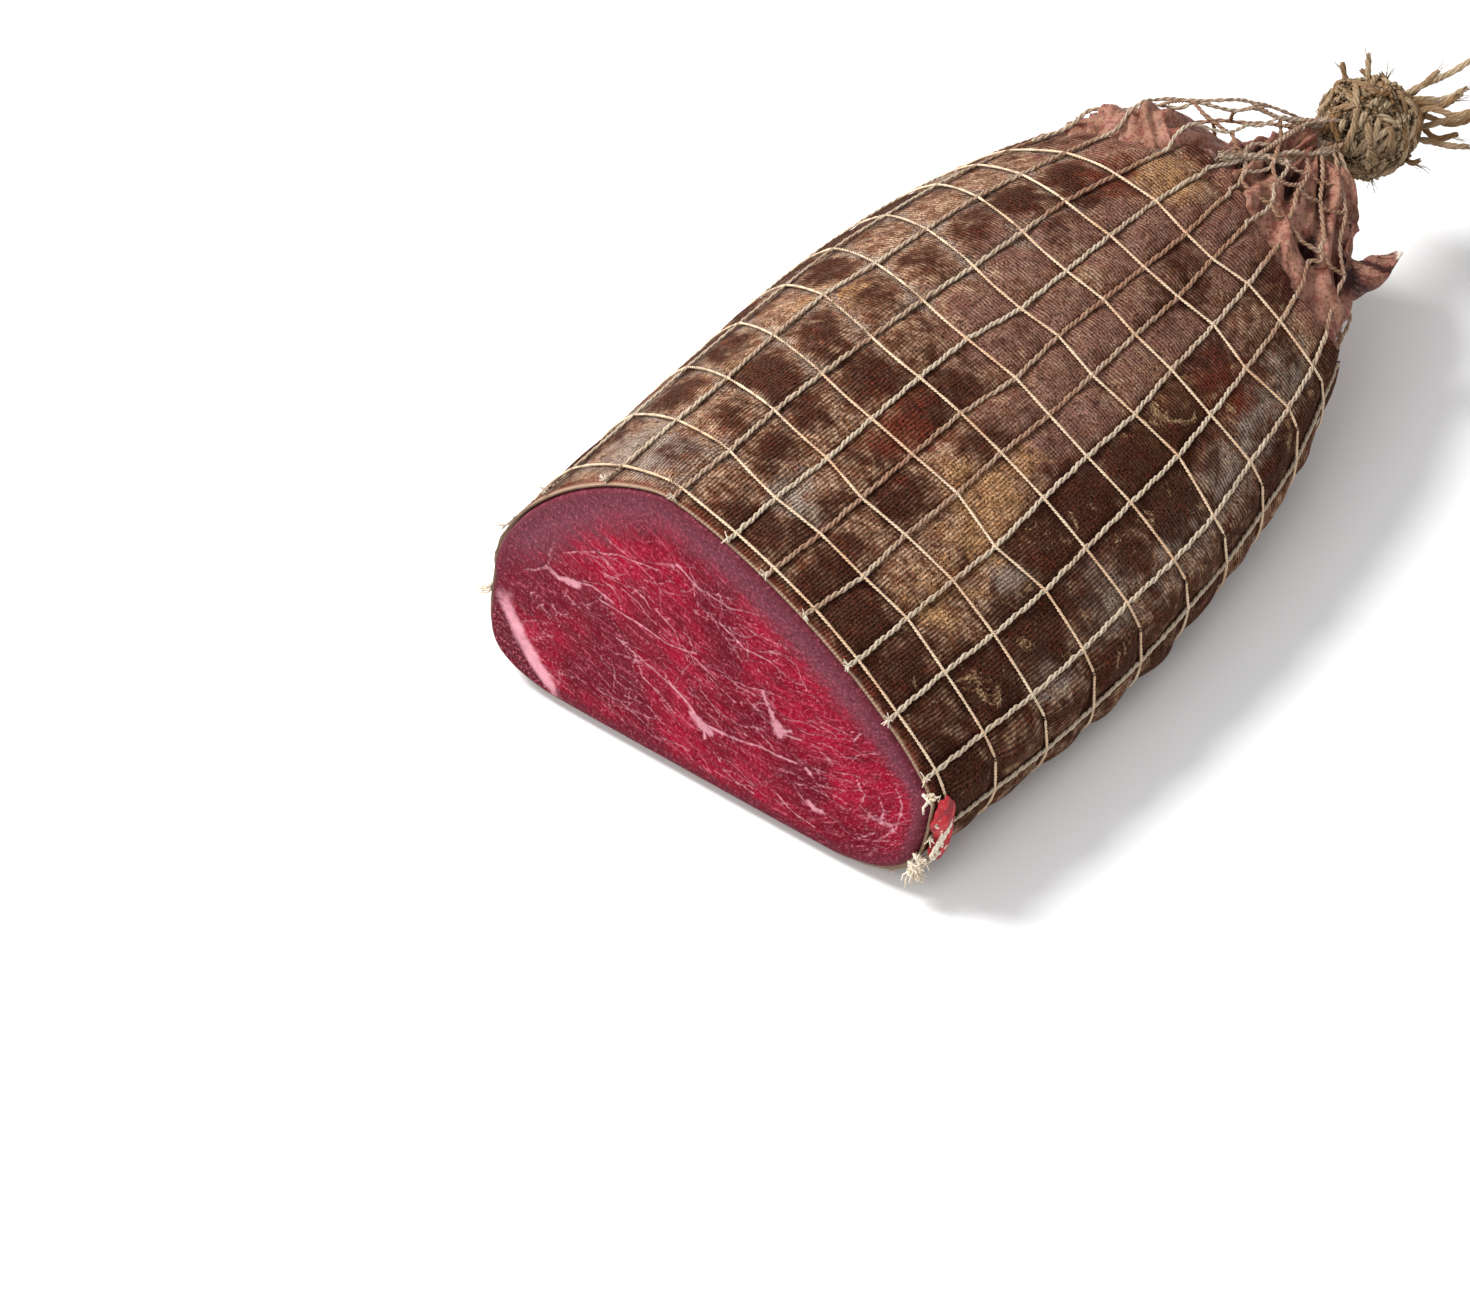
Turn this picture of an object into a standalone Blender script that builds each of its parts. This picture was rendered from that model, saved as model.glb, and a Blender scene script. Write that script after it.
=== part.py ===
# Two thirds of a bresaola, lying on its flat side with the cut face at -Y.
# Cured beef in its skin sits in a gauze sleeve and a string net, tied off with a twine knot at +Y.
# Metres, +Z up. The net touches the ground at z = 0, and the origin is under the middle of the piece.
import math

import bmesh
import bpy
import numpy as np
from mathutils import Vector

# Driving dimensions of the meat's outline where it is cut
HALF_WIDTH = 0.0775
CUT_HEIGHT = 0.085
WIDEST_HEIGHT = 0.033
CROWN_POWER = 1.55
LEFT_CROWN_POWER = 1.42
BASE_POWER = 4.6
CROWN_TO_LEFT = 0.0245
CUT_LEAN = math.radians(12.5)
CUT_SLANT = math.radians(4.0)
LEAN_REACH = 0.03

# The outline is trimmed level at this height, so that the piece lies on a flat base
FLAT_BASE = 0.0012

# How the outline runs back to the rounded far end
LENGTH = 0.2775
WIDENING = 0.95
END_POWER = 1.93
END_HEIGHT = 0.06
SHOULDER = 0.08
SHOULDER_RIGHT = 0.06
SHOULDER_TOP = 0.054

# The net: lengthwise cords crossed by hoops of thread
CORDS = 20
HOOPS = 11
FIRST_CORD = -0.0122
CROWDING = 0.013
CROWDED_CORD = 6.6
CROWDING_SPREAD = 2.4
FIRST_HOOP = 0.0065
HOOP_PITCH = 0.0222
CORD_HALF_WIDTH = 0.0012
HOOP_HALF_WIDTH = 0.0007
NET_GAP = 0.0006
NET_THICKNESS = 0.0009
FUNNEL_ROWS = (0.239, 0.249, 0.259, 0.268)
NECK = Vector((0.0035, 0.2835, 0.0563))
NECK_AXIS = Vector((0.33, 0.87, -0.37)).normalized()
NECK_RADIUS = 0.0052
NECK_LENGTH = 0.009
COLLAR = ((0.0, 1.5), (0.45, 1.0), (1.0, 1.0))
STRIP_SHARE = 0.36

# The sleeve, the skin and the meat, from the outside in
SLEEVE_THICKNESS = 0.001
SLEEVE_START = 0.0015
SLEEVE_END = 0.239
PUFF = 0.002
CLEAR_HEIGHT = 0.01
MOST_RISE = 0.0035
EDGE_RISE = 0.0025
LAYER_GAP = 0.0005
SLIVER = 0.00003
SKIN_START = 0.2285
SKIN_ROWS = ((SKIN_START, 0.0), (0.2375, 0.0), (0.247, 0.0012), (0.256, 0.003), (0.264, 0.005))
SKIN_LINING = ((0.256, 0.006), (0.247, 0.003), (0.2375, 0.0012), (SKIN_START, 0.0012))
SKIN_CENTRE = Vector((0.002, 0.271, 0.0573))
LINING_CENTRE = Vector((0.002, 0.265, 0.0573))
PLEAT = 0.0016
MEAT_CENTRE = Vector((0.0, 0.248, 0.0538))
MEAT_TAIL = ((-0.006, 0.0), (0.007, 0.002))
RIM_SINK = 0.001
MEAT_RISE = 0.0015
FACE_RING = 0.6
TAIL_RING = 0.65
SKIN_RING = 0.55

# The flap of skin that curls out at the right of the far end, between the first two cords
FLAP_COLUMN = 1
FLAP_REACH = {0.247: 0.005, 0.256: 0.016}
FLAP_AXIS = Vector((0.8, 0.5, 0.12)).normalized()

# The knot and its loose ends
KNOT_CENTRE = Vector((0.0100, 0.3022, 0.0483))
KNOT_RADIUS = 0.0150
KNOT_RIDGE = 0.0011
KNOT_TURNS = 14
KNOT_LUMP = 0.0012
TASSEL_AXIS = Vector((0.66, 0.70, 0.16)).normalized()
TASSEL_ENDS = 5
TASSEL_SPREAD = 0.3
TASSEL_ROOT = 0.01
TUFT_ENDS = 3
TUFT_ROOT = 0.006
SOCKET_FLARE = 0.006
SOCKET_BEFORE = 0.0195
SOCKET_AFTER = 0.0005
TWINE_ROOT_RADIUS = 0.0018
TWINE_TIP_RADIUS = 0.0009
TASSEL_LENGTH = 0.038
TASSEL_UNEVEN = 0.15
TUFT_LENGTH = 0.016

# The lowest cords lie at z = 0 under the flat base, and the origin is moved under the middle
LIFT = NET_GAP + NET_THICKNESS - FLAT_BASE
MIDDLE = Vector((-0.0037, 0.1606, 0.0))


def outline(angle):
    """The cut outline: a squat rounded form, flat underneath, with its crown pushed to the left."""
    power = CROWN_POWER if math.cos(angle) > 0 else LEFT_CROWN_POWER
    if math.sin(angle) < 0:
        power = BASE_POWER
    across = math.copysign(abs(math.cos(angle)) ** (2 / power), math.cos(angle))
    up = math.copysign(abs(math.sin(angle)) ** (2 / power), math.sin(angle))
    x = HALF_WIDTH * across - CROWN_TO_LEFT * max(up, 0.0)
    z = WIDEST_HEIGHT + up * (CUT_HEIGHT - WIDEST_HEIGHT if up >= 0 else WIDEST_HEIGHT)
    return x, z


# Angles against distance round the outline, so that the net can be spaced in metres
TURN = np.linspace(0.0, 2 * math.pi, 8001)
OUTLINE = np.array([outline(angle) for angle in TURN])
STEPS = np.linalg.norm(np.diff(OUTLINE, axis=0), axis=1)
WALKED = np.concatenate([[0.0], np.cumsum(STEPS)])
GIRTH = WALKED[-1]


def surface(walk, along):
    """Point of the sleeve's outer face, walk metres round from the right side and along metres back."""
    angle = float(np.interp(walk % GIRTH, WALKED, TURN))
    x, z = outline(angle)
    shoulder = SHOULDER - SHOULDER_RIGHT * math.cos(angle) - SHOULDER_TOP * math.sin(angle)
    past = min(max((along - shoulder) / (LENGTH - shoulder), 0.0), 1.0)
    closing = (1 - past ** END_POWER) ** (1 / END_POWER)
    lean = math.tan(CUT_LEAN) * (z - CUT_HEIGHT / 2) + math.tan(CUT_SLANT) * x
    y = along + lean * math.exp(-along / LEAN_REACH)
    x *= closing * (1 + WIDENING * along)
    z = max(END_HEIGHT + closing * (z - END_HEIGHT), FLAT_BASE)
    return Vector((x, y, z + LIFT))


def outward(walk, along):
    """Unit normal of the sleeve's outer face."""
    step = 0.0005
    around = surface(walk + step, along) - surface(walk - step, along)
    back = surface(walk, along + step) - surface(walk, along - step)
    return back.cross(around).normalized()


def body_point(walk, along, out=0.0):
    return surface(walk, along) + outward(walk, along) * out


def cord_walk(cord):
    """Where a cord lies round the body: they crowd together over the crown."""
    crowd = CROWDING * math.exp(-((cord % CORDS - CROWDED_CORD) / CROWDING_SPREAD) ** 2)
    return FIRST_CORD + GIRTH * cord / CORDS - crowd


def hoop_along(hoop):
    return FIRST_HOOP + HOOP_PITCH * hoop


def between_cords(cord):
    """Distance round the body at a whole or half cord number."""
    low = math.floor(cord)
    return cord_walk(low) + (cord_walk(low + 1) - cord_walk(low)) * (cord - low)


def opening_point(cord, along, out=0.0, puff=0.0, most_rise=MOST_RISE):
    """Point midway between two cords: on the straight thread, or risen from it by the meat behind."""
    ends = [body_point(cord_walk(cord + step), along, out) for step in (0, 1)]
    flat = (ends[0] + ends[1]) / 2
    rise = body_point(between_cords(cord + 0.5), along, out + puff) - flat
    return flat + rise * min(1.0, most_rise / max(rise.length, 0.000001))


def neck_point(cord, reach, radius):
    """Point of the gathered neck, reach metres along its axis, level with the given cord."""
    start = surface(between_cords(cord), FUNNEL_ROWS[0]) - Vector((0.0, FUNNEL_ROWS[0], END_HEIGHT + LIFT))
    spoke = (start - NECK_AXIS * start.dot(NECK_AXIS)).normalized()
    return NECK + NECK_AXIS * reach + spoke * radius


def wrapped_grid(name, columns, rows, place, keep=None):
    """A grid bent round the body: place(i, j) is the point of column i in row j, and the seam is welded."""
    form = bmesh.new()
    bmesh.ops.create_grid(form, x_segments=columns, y_segments=rows, size=0.5)
    spare = []
    for face in form.faces:
        middle = face.calc_center_median()
        column = math.floor((middle.x + 0.5) * columns)
        row = math.floor((middle.y + 0.5) * rows)
        if keep and not keep(column, row):
            spare.append(face)
    for vertex in form.verts:
        column = round((vertex.co.x + 0.5) * columns)
        row = round((vertex.co.y + 0.5) * rows)
        vertex.co = place(column % columns, row)
    bmesh.ops.delete(form, geom=spare, context="FACES")
    bmesh.ops.remove_doubles(form, verts=form.verts[:], dist=0.00002)
    mesh = bpy.data.meshes.new(name)
    bmesh.ops.reverse_faces(form, faces=form.faces[:])
    form.to_mesh(mesh)
    form.free()
    return mesh


def material(name, colour, roughness):
    finish = bpy.data.materials.new(name)
    finish.use_nodes = True
    shader = finish.node_tree.nodes["Principled BSDF"]
    shader.inputs["Base Color"].default_value = (*colour, 1.0)
    shader.inputs["Roughness"].default_value = roughness
    return finish


def part(name, mesh, finish, collection):
    thing = bpy.data.objects.new(name, mesh)
    thing.location = -MIDDLE
    mesh.materials.append(finish)
    mesh.shade_smooth()
    collection.objects.link(thing)
    return thing


def thicken(thing, thickness, offset):
    solid = thing.modifiers.new("Thickness", "SOLIDIFY")
    solid.thickness = thickness
    solid.offset = offset
    solid.use_even_offset = False


def join(thing, others):
    union = thing.modifiers.new("Join", "BOOLEAN")
    union.operation = "UNION"
    union.operand_type = "COLLECTION"
    union.collection = others
    union.solver = "EXACT"


def helpers(name):
    """A collection of shapes that only serve others' Booleans."""
    group = bpy.data.collections.new(name)
    bpy.context.scene.collection.children.link(group)
    return group


def helper(name, mesh, group):
    thing = bpy.data.objects.new(name, mesh)
    thing.location = -MIDDLE
    thing.hide_render = True
    thing.display_type = "WIRE"
    group.objects.link(thing)
    return thing


def settle(thing, groups):
    """Apply the modifiers, clear away slivers that the joins left, and remove the helpers."""
    depsgraph = bpy.context.evaluated_depsgraph_get()
    mesh = bpy.data.meshes.new_from_object(thing.evaluated_get(depsgraph))
    form = bmesh.new()
    form.from_mesh(mesh)
    bmesh.ops.triangulate(form, faces=form.faces[:])
    bmesh.ops.remove_doubles(form, verts=form.verts[:], dist=SLIVER)
    bmesh.ops.dissolve_degenerate(form, dist=SLIVER, edges=form.edges[:])
    bmesh.ops.triangulate(form, faces=form.faces[:])
    form.to_mesh(mesh)
    form.free()
    thing.modifiers.clear()
    thing.data = mesh
    for group in groups:
        for tool in list(group.objects):
            bpy.data.objects.remove(tool)
        bpy.data.collections.remove(group)


def sleeve_rows():
    """Lines of the sleeve: its front edge, each hoop, and its far edge."""
    return [SLEEVE_START] + [hoop_along(hoop) for hoop in range(HOOPS)] + [SLEEVE_END]


def crossing(cord, line, out=0.0):
    return body_point(cord_walk(cord), sleeve_rows()[line], out)


def make_sleeve(collection):
    """Gauze that lies straight along the threads and puffs out in each opening of the net."""
    lines = sleeve_rows()

    def place(column, row):
        cord = column // 2
        line = row // 2
        if column % 2 == 0 and row % 2 == 0:
            return crossing(cord, line)
        if column % 2 == 0:
            return (crossing(cord, line) + crossing(cord, line + 1)) / 2
        if row % 2 == 0:
            on_hoop = 0 < line < len(lines) - 1
            return opening_point(cord, lines[line], most_rise=0.0 if on_hoop else EDGE_RISE)
        along = (lines[line] + lines[line + 1]) / 2
        if line == 0:
            return opening_point(cord, along, most_rise=EDGE_RISE / 2)
        clear_of_ground = min(surface(between_cords(cord + 0.5), along).z / CLEAR_HEIGHT, 1.0)
        return opening_point(cord, along, 0.0, PUFF * clear_of_ground)

    mesh = wrapped_grid("casing", 2 * CORDS, 2 * (len(lines) - 1), place)
    gauze = material("gauze", (0.22, 0.15, 0.11), 0.85)
    sleeve = part("casing", mesh, gauze, collection)
    thicken(sleeve, SLEEVE_THICKNESS, -1.0)


def make_meat(collection):
    """The cured muscle, cut flat in front and closed round behind."""
    lines = sleeve_rows()[1:-2]
    inside = SLEEVE_THICKNESS + LAYER_GAP
    under_skin = inside + SKIN_LINING[-1][1] + 3 * LAYER_GAP
    rows = [(0.0, inside + RIM_SINK), (SLEEVE_START, inside)]
    rows += [(along, inside) for along in lines]
    rows += [(SKIN_START + step, under_skin + sink) for step, sink in MEAT_TAIL]
    front = Vector((-CROWN_TO_LEFT / 4, 0.0, CUT_HEIGHT / 2 + LIFT))
    rings = len(rows) + 3

    def ring_point(column, along, depth):
        if column % 2 == 0:
            return body_point(cord_walk(column // 2), along, -depth)
        most_rise = 0.0 if FIRST_HOOP <= along < SKIN_START else MEAT_RISE
        return opening_point(column // 2, along, -depth, most_rise=most_rise)

    def place(column, row):
        if row == 0:
            return front
        if row == 1:
            return front.lerp(ring_point(column, *rows[0]), FACE_RING)
        if row == rings:
            return MEAT_CENTRE
        if row == rings - 1:
            return MEAT_CENTRE.lerp(ring_point(column, *rows[-1]), TAIL_RING)
        return ring_point(column, *rows[row - 2])

    mesh = wrapped_grid("meat", 2 * CORDS, rings, place)
    beef = material("beef", (0.27, 0.02, 0.04), 0.45)
    part("meat", mesh, beef, collection)


def make_skin(collection):
    """The natural skin gathered in pleats over the far end, with a flap that curls out at the right."""
    inside = SLEEVE_THICKNESS + 2 * LAYER_GAP

    def ring_point(column, along, sink, pleat):
        if column % 2 == 0:
            return body_point(cord_walk(column // 2), along, -inside - sink)
        most_rise = EDGE_RISE if along > SKIN_START else 0.0
        return opening_point(column // 2, along, -inside - sink - pleat, most_rise=most_rise)

    def place(column, row):
        lining = len(SKIN_LINING)
        if row == 0:
            return LINING_CENTRE
        if row <= lining:
            return ring_point(column, *SKIN_LINING[row - 1], 0.0)
        step = min(row - lining - 1, len(SKIN_ROWS) - 1)
        pleat = PLEAT * step / (len(SKIN_ROWS) - 1)
        rim = ring_point(column, *SKIN_ROWS[step], pleat)
        if column == FLAP_COLUMN:
            rim += FLAP_AXIS * FLAP_REACH.get(SKIN_ROWS[step][0], 0.0)
        if row == lining + len(SKIN_ROWS) + 1:
            return SKIN_CENTRE.lerp(rim, SKIN_RING)
        return SKIN_CENTRE if row > lining + len(SKIN_ROWS) + 1 else rim

    mesh = wrapped_grid("skin", 2 * CORDS, len(SKIN_LINING) + len(SKIN_ROWS) + 2, place)
    natural = material("natural_skin", (0.42, 0.22, 0.18), 0.5)
    part("skin", mesh, natural, collection)


def make_net(collection):
    """Cords and hoops as flat strips cut from one grid, gathered into a collar at the neck."""
    lines = sleeve_rows()[:-1]
    sides = (-1, 1)
    last_hoop = 2 * HOOPS

    def at_line(cord, line):
        return crossing(cord, line, NET_GAP)

    def beyond(cord, step):
        if step <= len(FUNNEL_ROWS):
            return body_point(cord_walk(cord), FUNNEL_ROWS[step - 1], NET_GAP)
        reach, width = COLLAR[step - len(FUNNEL_ROWS) - 1]
        return neck_point(cord, NECK_LENGTH * reach, NECK_RADIUS * width)

    def strip_edge(side, before, here, after):
        """Point half a cord's width to one side, in the plane that lies level on the body."""
        room = (after - before).length / 2
        return here + (after - before).normalized() * side * min(CORD_HALF_WIDTH, STRIP_SHARE * room)

    def place(column, row):
        cord = column // 2
        side = sides[column % 2]
        if row > last_hoop:
            return strip_edge(side, *[beyond(cord + step, row - last_hoop) for step in (-1, 0, 1)])
        line = (row + 1) // 2
        ends = [at_line(cord + step, line) for step in (-1, 0, 1)]
        point = strip_edge(side, *ends)
        if row == 0:
            return point
        back = row % 2 == 0
        if back and line == len(lines) - 1:
            towards = beyond(cord, 1)
        else:
            towards = at_line(cord, line + (1 if back else -1))
        return point + (towards - ends[1]).normalized() * HOOP_HALF_WIDTH

    steps = len(FUNNEL_ROWS) + len(COLLAR)

    def keep(column, row):
        on_cord = column % 2 == 0
        on_hoop = row < last_hoop and row % 2 == 1
        on_collar = row >= last_hoop + len(FUNNEL_ROWS) + 1
        return on_cord or on_hoop or on_collar

    mesh = wrapped_grid("net", 2 * CORDS, last_hoop + steps, place, keep)
    string = material("string", (0.62, 0.5, 0.38), 0.9)
    net = part("net", mesh, string, collection)
    thicken(net, NET_THICKNESS, 1.0)


def twine_end(name, start, direction, length, group):
    """A loose twine end: a six-sided cone that starts inside the ball."""
    form = bmesh.new()
    turn = Vector((0.0, 0.0, 1.0)).rotation_difference(direction).to_matrix().to_4x4()
    turn.translation = start + direction * length / 2
    bmesh.ops.create_cone(
        form,
        cap_ends=True,
        segments=6,
        radius1=TWINE_ROOT_RADIUS,
        radius2=TWINE_TIP_RADIUS,
        depth=length,
        matrix=turn,
    )
    mesh = bpy.data.meshes.new(name)
    form.to_mesh(mesh)
    form.free()
    return helper(name, mesh, group)


def make_knot(collection):
    """A ball of wound twine over the neck, with a tuft on top and a tassel behind."""
    form = bmesh.new()
    bmesh.ops.create_uvsphere(form, u_segments=24, v_segments=14, radius=1.0)
    for vertex in form.verts:
        spot = vertex.co.normalized()
        turn = math.atan2(spot.y, spot.x)
        ridge = KNOT_RIDGE * math.cos(KNOT_TURNS * spot.z + 2 * turn)
        lump = KNOT_LUMP * math.sin(3 * turn + 1.0) * (1 - abs(spot.z))
        vertex.co = KNOT_CENTRE + spot * (KNOT_RADIUS + ridge + lump)
    mesh = bpy.data.meshes.new("knot")
    form.to_mesh(mesh)
    form.free()
    twine = material("twine", (0.36, 0.29, 0.18), 0.95)
    knot = part("knot", mesh, twine, collection)

    ends = helpers("knot ends")
    side = TASSEL_AXIS.cross(Vector((0.0, 0.0, 1.0))).normalized()
    rise = side.cross(TASSEL_AXIS)
    for index in range(TASSEL_ENDS):
        turn = 2 * math.pi * index / TASSEL_ENDS
        spread = (side * math.cos(turn) + rise * math.sin(turn)) * TASSEL_SPREAD
        direction = (TASSEL_AXIS + spread).normalized()
        length = TASSEL_LENGTH * (1 - TASSEL_UNEVEN * (1 + math.cos(2 * turn)) / 2)
        twine_end(f"tassel_{index}", KNOT_CENTRE + spread * TASSEL_ROOT, direction, length, ends)
    for index in range(TUFT_ENDS):
        direction = Vector((-0.3 + 0.25 * index, 0.1, 1.0)).normalized()
        twine_end(f"tuft_{index}", KNOT_CENTRE + direction * TUFT_ROOT, direction, TUFT_LENGTH, ends)
    join(knot, ends)

    sockets = helpers("knot socket")
    width = NECK_RADIUS + NET_THICKNESS + 2 * LAYER_GAP
    form = bmesh.new()
    turn = Vector((0.0, 0.0, 1.0)).rotation_difference(NECK_AXIS).to_matrix().to_4x4()
    turn.translation = NECK + NECK_AXIS * (NECK_LENGTH + SOCKET_AFTER - SOCKET_BEFORE) / 2
    bmesh.ops.create_cone(
        form,
        cap_ends=True,
        segments=20,
        radius1=width + SOCKET_FLARE,
        radius2=width,
        depth=NECK_LENGTH + SOCKET_AFTER + SOCKET_BEFORE,
        matrix=turn,
    )
    mesh = bpy.data.meshes.new("socket")
    form.to_mesh(mesh)
    form.free()
    socket = helper("socket", mesh, sockets)
    hollow = knot.modifiers.new("Socket", "BOOLEAN")
    hollow.operation = "DIFFERENCE"
    hollow.object = socket
    hollow.solver = "EXACT"
    settle(knot, [ends, sockets])


def main():
    for thing in list(bpy.data.objects):
        bpy.data.objects.remove(thing)
    collection = bpy.data.collections.new("bresaola")
    bpy.context.scene.collection.children.link(collection)
    make_meat(collection)
    make_sleeve(collection)
    make_skin(collection)
    make_net(collection)
    make_knot(collection)


main()
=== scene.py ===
# A cut bresaola dressed for the photograph's view: cured beef, mottled gauze, string net and twine knot.
# Metres, +Z up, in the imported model's frame. The surface formula is the one the solids were made with.
import math
import random

import bpy
import numpy as np
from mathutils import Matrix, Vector


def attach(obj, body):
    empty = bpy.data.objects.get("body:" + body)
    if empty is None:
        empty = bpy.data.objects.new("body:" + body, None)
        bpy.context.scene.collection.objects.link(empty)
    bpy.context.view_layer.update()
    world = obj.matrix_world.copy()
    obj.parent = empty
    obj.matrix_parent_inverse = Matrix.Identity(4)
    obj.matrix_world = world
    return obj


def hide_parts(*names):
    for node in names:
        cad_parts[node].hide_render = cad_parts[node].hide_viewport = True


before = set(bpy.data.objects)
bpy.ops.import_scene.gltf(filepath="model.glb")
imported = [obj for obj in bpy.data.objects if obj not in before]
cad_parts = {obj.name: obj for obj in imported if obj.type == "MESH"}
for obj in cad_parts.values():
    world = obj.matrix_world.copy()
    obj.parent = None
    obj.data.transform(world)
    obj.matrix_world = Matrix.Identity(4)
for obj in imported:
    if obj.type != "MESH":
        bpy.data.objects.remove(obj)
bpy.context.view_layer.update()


def unit(vectors):
    vectors = np.asarray(vectors, float)
    return vectors / np.maximum(np.linalg.norm(vectors, axis=-1, keepdims=True), 1e-12)


def vec(*parts):
    return np.array(parts, float)


# Outline of the cut and how it runs back to the far end, as in the solids
HALF_WIDTH = 0.0775
CUT_HEIGHT = 0.085
WIDEST_HEIGHT = 0.033
CROWN_POWER = 1.55
LEFT_CROWN_POWER = 1.42
BASE_POWER = 4.6
CROWN_TO_LEFT = 0.0245
CUT_LEAN = math.radians(12.5)
CUT_SLANT = math.radians(4.0)
LEAN_REACH = 0.03
FLAT_BASE = 0.0012
LENGTH = 0.2775
WIDENING = 0.95
END_POWER = 1.93
END_HEIGHT = 0.06
SHOULDER = 0.08
SHOULDER_RIGHT = 0.06
SHOULDER_TOP = 0.054
LIFT = 0.0003
SHIFT = vec(0.0037, -0.1606, 0.0)

# The net's layout
CORDS = 20
HOOPS = 11
FIRST_CORD = -0.0122
CROWDING = 0.013
CROWDED_CORD = 6.6
CROWDING_SPREAD = 2.4
FIRST_HOOP = 0.0065
HOOP_PITCH = 0.0222
PULL_BACK = 0.020
SEAM_CORD = -4.5
NECK = vec(0.0035, 0.2835, 0.0563) + SHIFT
NECK_AXIS = unit(vec(0.33, 0.87, -0.37))
KNOT_CENTRE = vec(0.0088, 0.3020, 0.0494) + SHIFT
KNOT_RADIUS = 0.0155

# The sleeve's edge, its quilting and ribs, and how its stains spread
SLEEVE_START = 0.0015
PUFF = 0.0017
ON_FLOOR = 0.0003
SLEEVE_COLUMNS = 16
SLEEVE_ROWS = 18
MOST_RISE = 0.005
THREAD_SHARE = 0.72
LUMP = 0.0005
RIB_PITCH = 0.00115
CELL_WIDTH = 0.019
LAST_HOOP = 9.0
STAIN_SOFTNESS = 0.85
DRIFT = 0.004
FINE_DRIFT = 0.0015

# Fineness of the meshes
MEAT_COLUMNS = 640
MEAT_RINGS = 96
SKIN_COLUMNS = 480
SKIN_ROWS = 90
THREAD_SPACING = 0.0009
FINE_SPACING = 0.0008

# The skin past the gauze: where it starts, turns in and closes, and its loose flap
SKIN_START = 0.205
SKIN_TURN = 0.266
SKIN_PLEAT = 0.0013
FLAP_CORD = 0.35
FLAP_REACH = 0.56
FLAP_WIDTH = 0.0060
FLAP_LENGTH = 0.0195

# Humps and hollows of the skin: at which cord, how far back, and how wide each way
PEAK = (8.2, 0.44, 1.2, 0.13)
DIP = (9.4, 0.0, 2.6, 1.0)
OVERHANG = (0.3, 0.79, 1.7, 0.15)
CAVITY = (2.0, 0.50, 0.32, 0.045)
CREASE = (4.9, 0.66, 1.7, 0.045)
PEAK_RISE = 0.0090
DIP_DEPTH = 0.0125
OVERHANG_OUT = 0.0095

# How far under the gauze the muscle lies, and the rounded rim of its cut: back from the cut, and further in
MEAT_INSIDE = 0.0013
MEAT_RIM = ((0.03, 0.0), (0.008, 0.0), (0.0022, 0.0), (0.0009, 0.0002), (0.0002, 0.0007))

# Thread: two twisted strands each, with the radius of one strand and the length of a turn
CORD_PLY = 0.00044
CORD_PITCH = 0.0054
CORD_OUT = 0.0009
THREAD_UNEVEN = 0.26
THREAD_FLAT = 0.62
CORD_STEP = 0.00085
THIN_CORDS = (9, 10, 11, 12, 13)
THIN_CORD = 0.72
CORD_TINT = (0.1, 0.1, 0.15, 0.25, 0.6, 0.7, 0.1, 0.45, 0.4, 0.35)
HOOP_PLY = 0.00027
HOOP_TWIST = 0.0023
HOOP_OUT = 0.0012
HOOP_POINTS = 841

# The funnel: cords that stand off the skin and how far, and cords that hang from the bundle and where
OPEN_CORDS = {7: 0.001, 8: 0.0050, 9: 0.0045, 10: 0.003}
OPEN_FROM = 0.46
HANGING_CORDS = {0: 1.0, 1: 0.95, 2: 0.86, 3: 0.72, 4: 0.52, 5: 0.26}

# Slack links from cord to cord and slack loops under the bundle: how far along they are, and how slack
LINKS = ((0.42, 0.0022), (0.66, 0.0018), (0.82, 0.0012))
SLACK_LOOPS = ((0.15, 0.010), (0.36, 0.014), (0.58, 0.010), (0.8, 0.013))
BUNDLE_START = (6.3, 0.42)
BUNDLE_STRANDS = 7

# The knot: a tassel behind it, tufts with where they point and their lengths, and the ball's twine
TASSEL_AXIS = unit(vec(0.66, 0.70, 0.16))
TASSEL_ENDS = 9
TASSEL_LENGTH = 0.033
TUFTS = (
    ((-0.75, 0.1, 0.8), 0.013),
    ((-0.30, 0.45, 0.9), 0.012),
    ((-0.10, 0.60, 0.8), 0.009),
    ((-0.5, 0.5, 0.9), 0.010),
    ((0.5, 0.7, 0.7), 0.016),
    ((0.9, 0.3, -0.4), 0.013),
    ((0.6, -0.4, -0.7), 0.009),
)
BALL_LOOPS = 78
INNER_LOOPS = 22
BALL_FIBRES = 420
BALL_TWIST = (0.00062, 0.0075)
TASSEL_TWIST = (0.00055, 0.011)
TUFT_TWIST = (0.0005, 0.010)
FIBRE_STEPS = (0.0, 0.35, 0.7, 1.0)

# Tufts along the cut edge: where they are round it, how many ends, and how long
EDGE_TUFTS = ((-0.022, 34, 0.0065), (-0.018, 16, 0.005), (0.205, 8, 0.005), (0.003, 8, 0.006))
EDGE_FRAYS = 9

# A loose twist of twine at the right end of the cut: round the body, back from the cut, and out
EDGE_TWIST = (
    (-0.004, 0.003, 0.0022),
    (-0.009, 0.006, 0.0030),
    (-0.014, 0.003, 0.0034),
    (-0.019, 0.007, 0.0026),
    (-0.024, 0.004, 0.0020),
)

# The torn lip at the right end of the cut
SCRAP_START = 0.001
SCRAP_LENGTH = 0.023
SCRAP_WIDTH = 0.0050
SCRAP_THICKNESS = 0.0012

# Light, with the place, size and power of each lamp, and the floor
WORLD_STRENGTH = 0.60
KEY = ((-0.72, -0.28, 0.92), 0.45, 17.5)
FILL = ((0.2, -1.0, 0.8), 0.7, 4.0)
LIT_PLACE = (0.0, 0.0, 0.03)
FLOOR_HALF = 3.0

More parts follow.
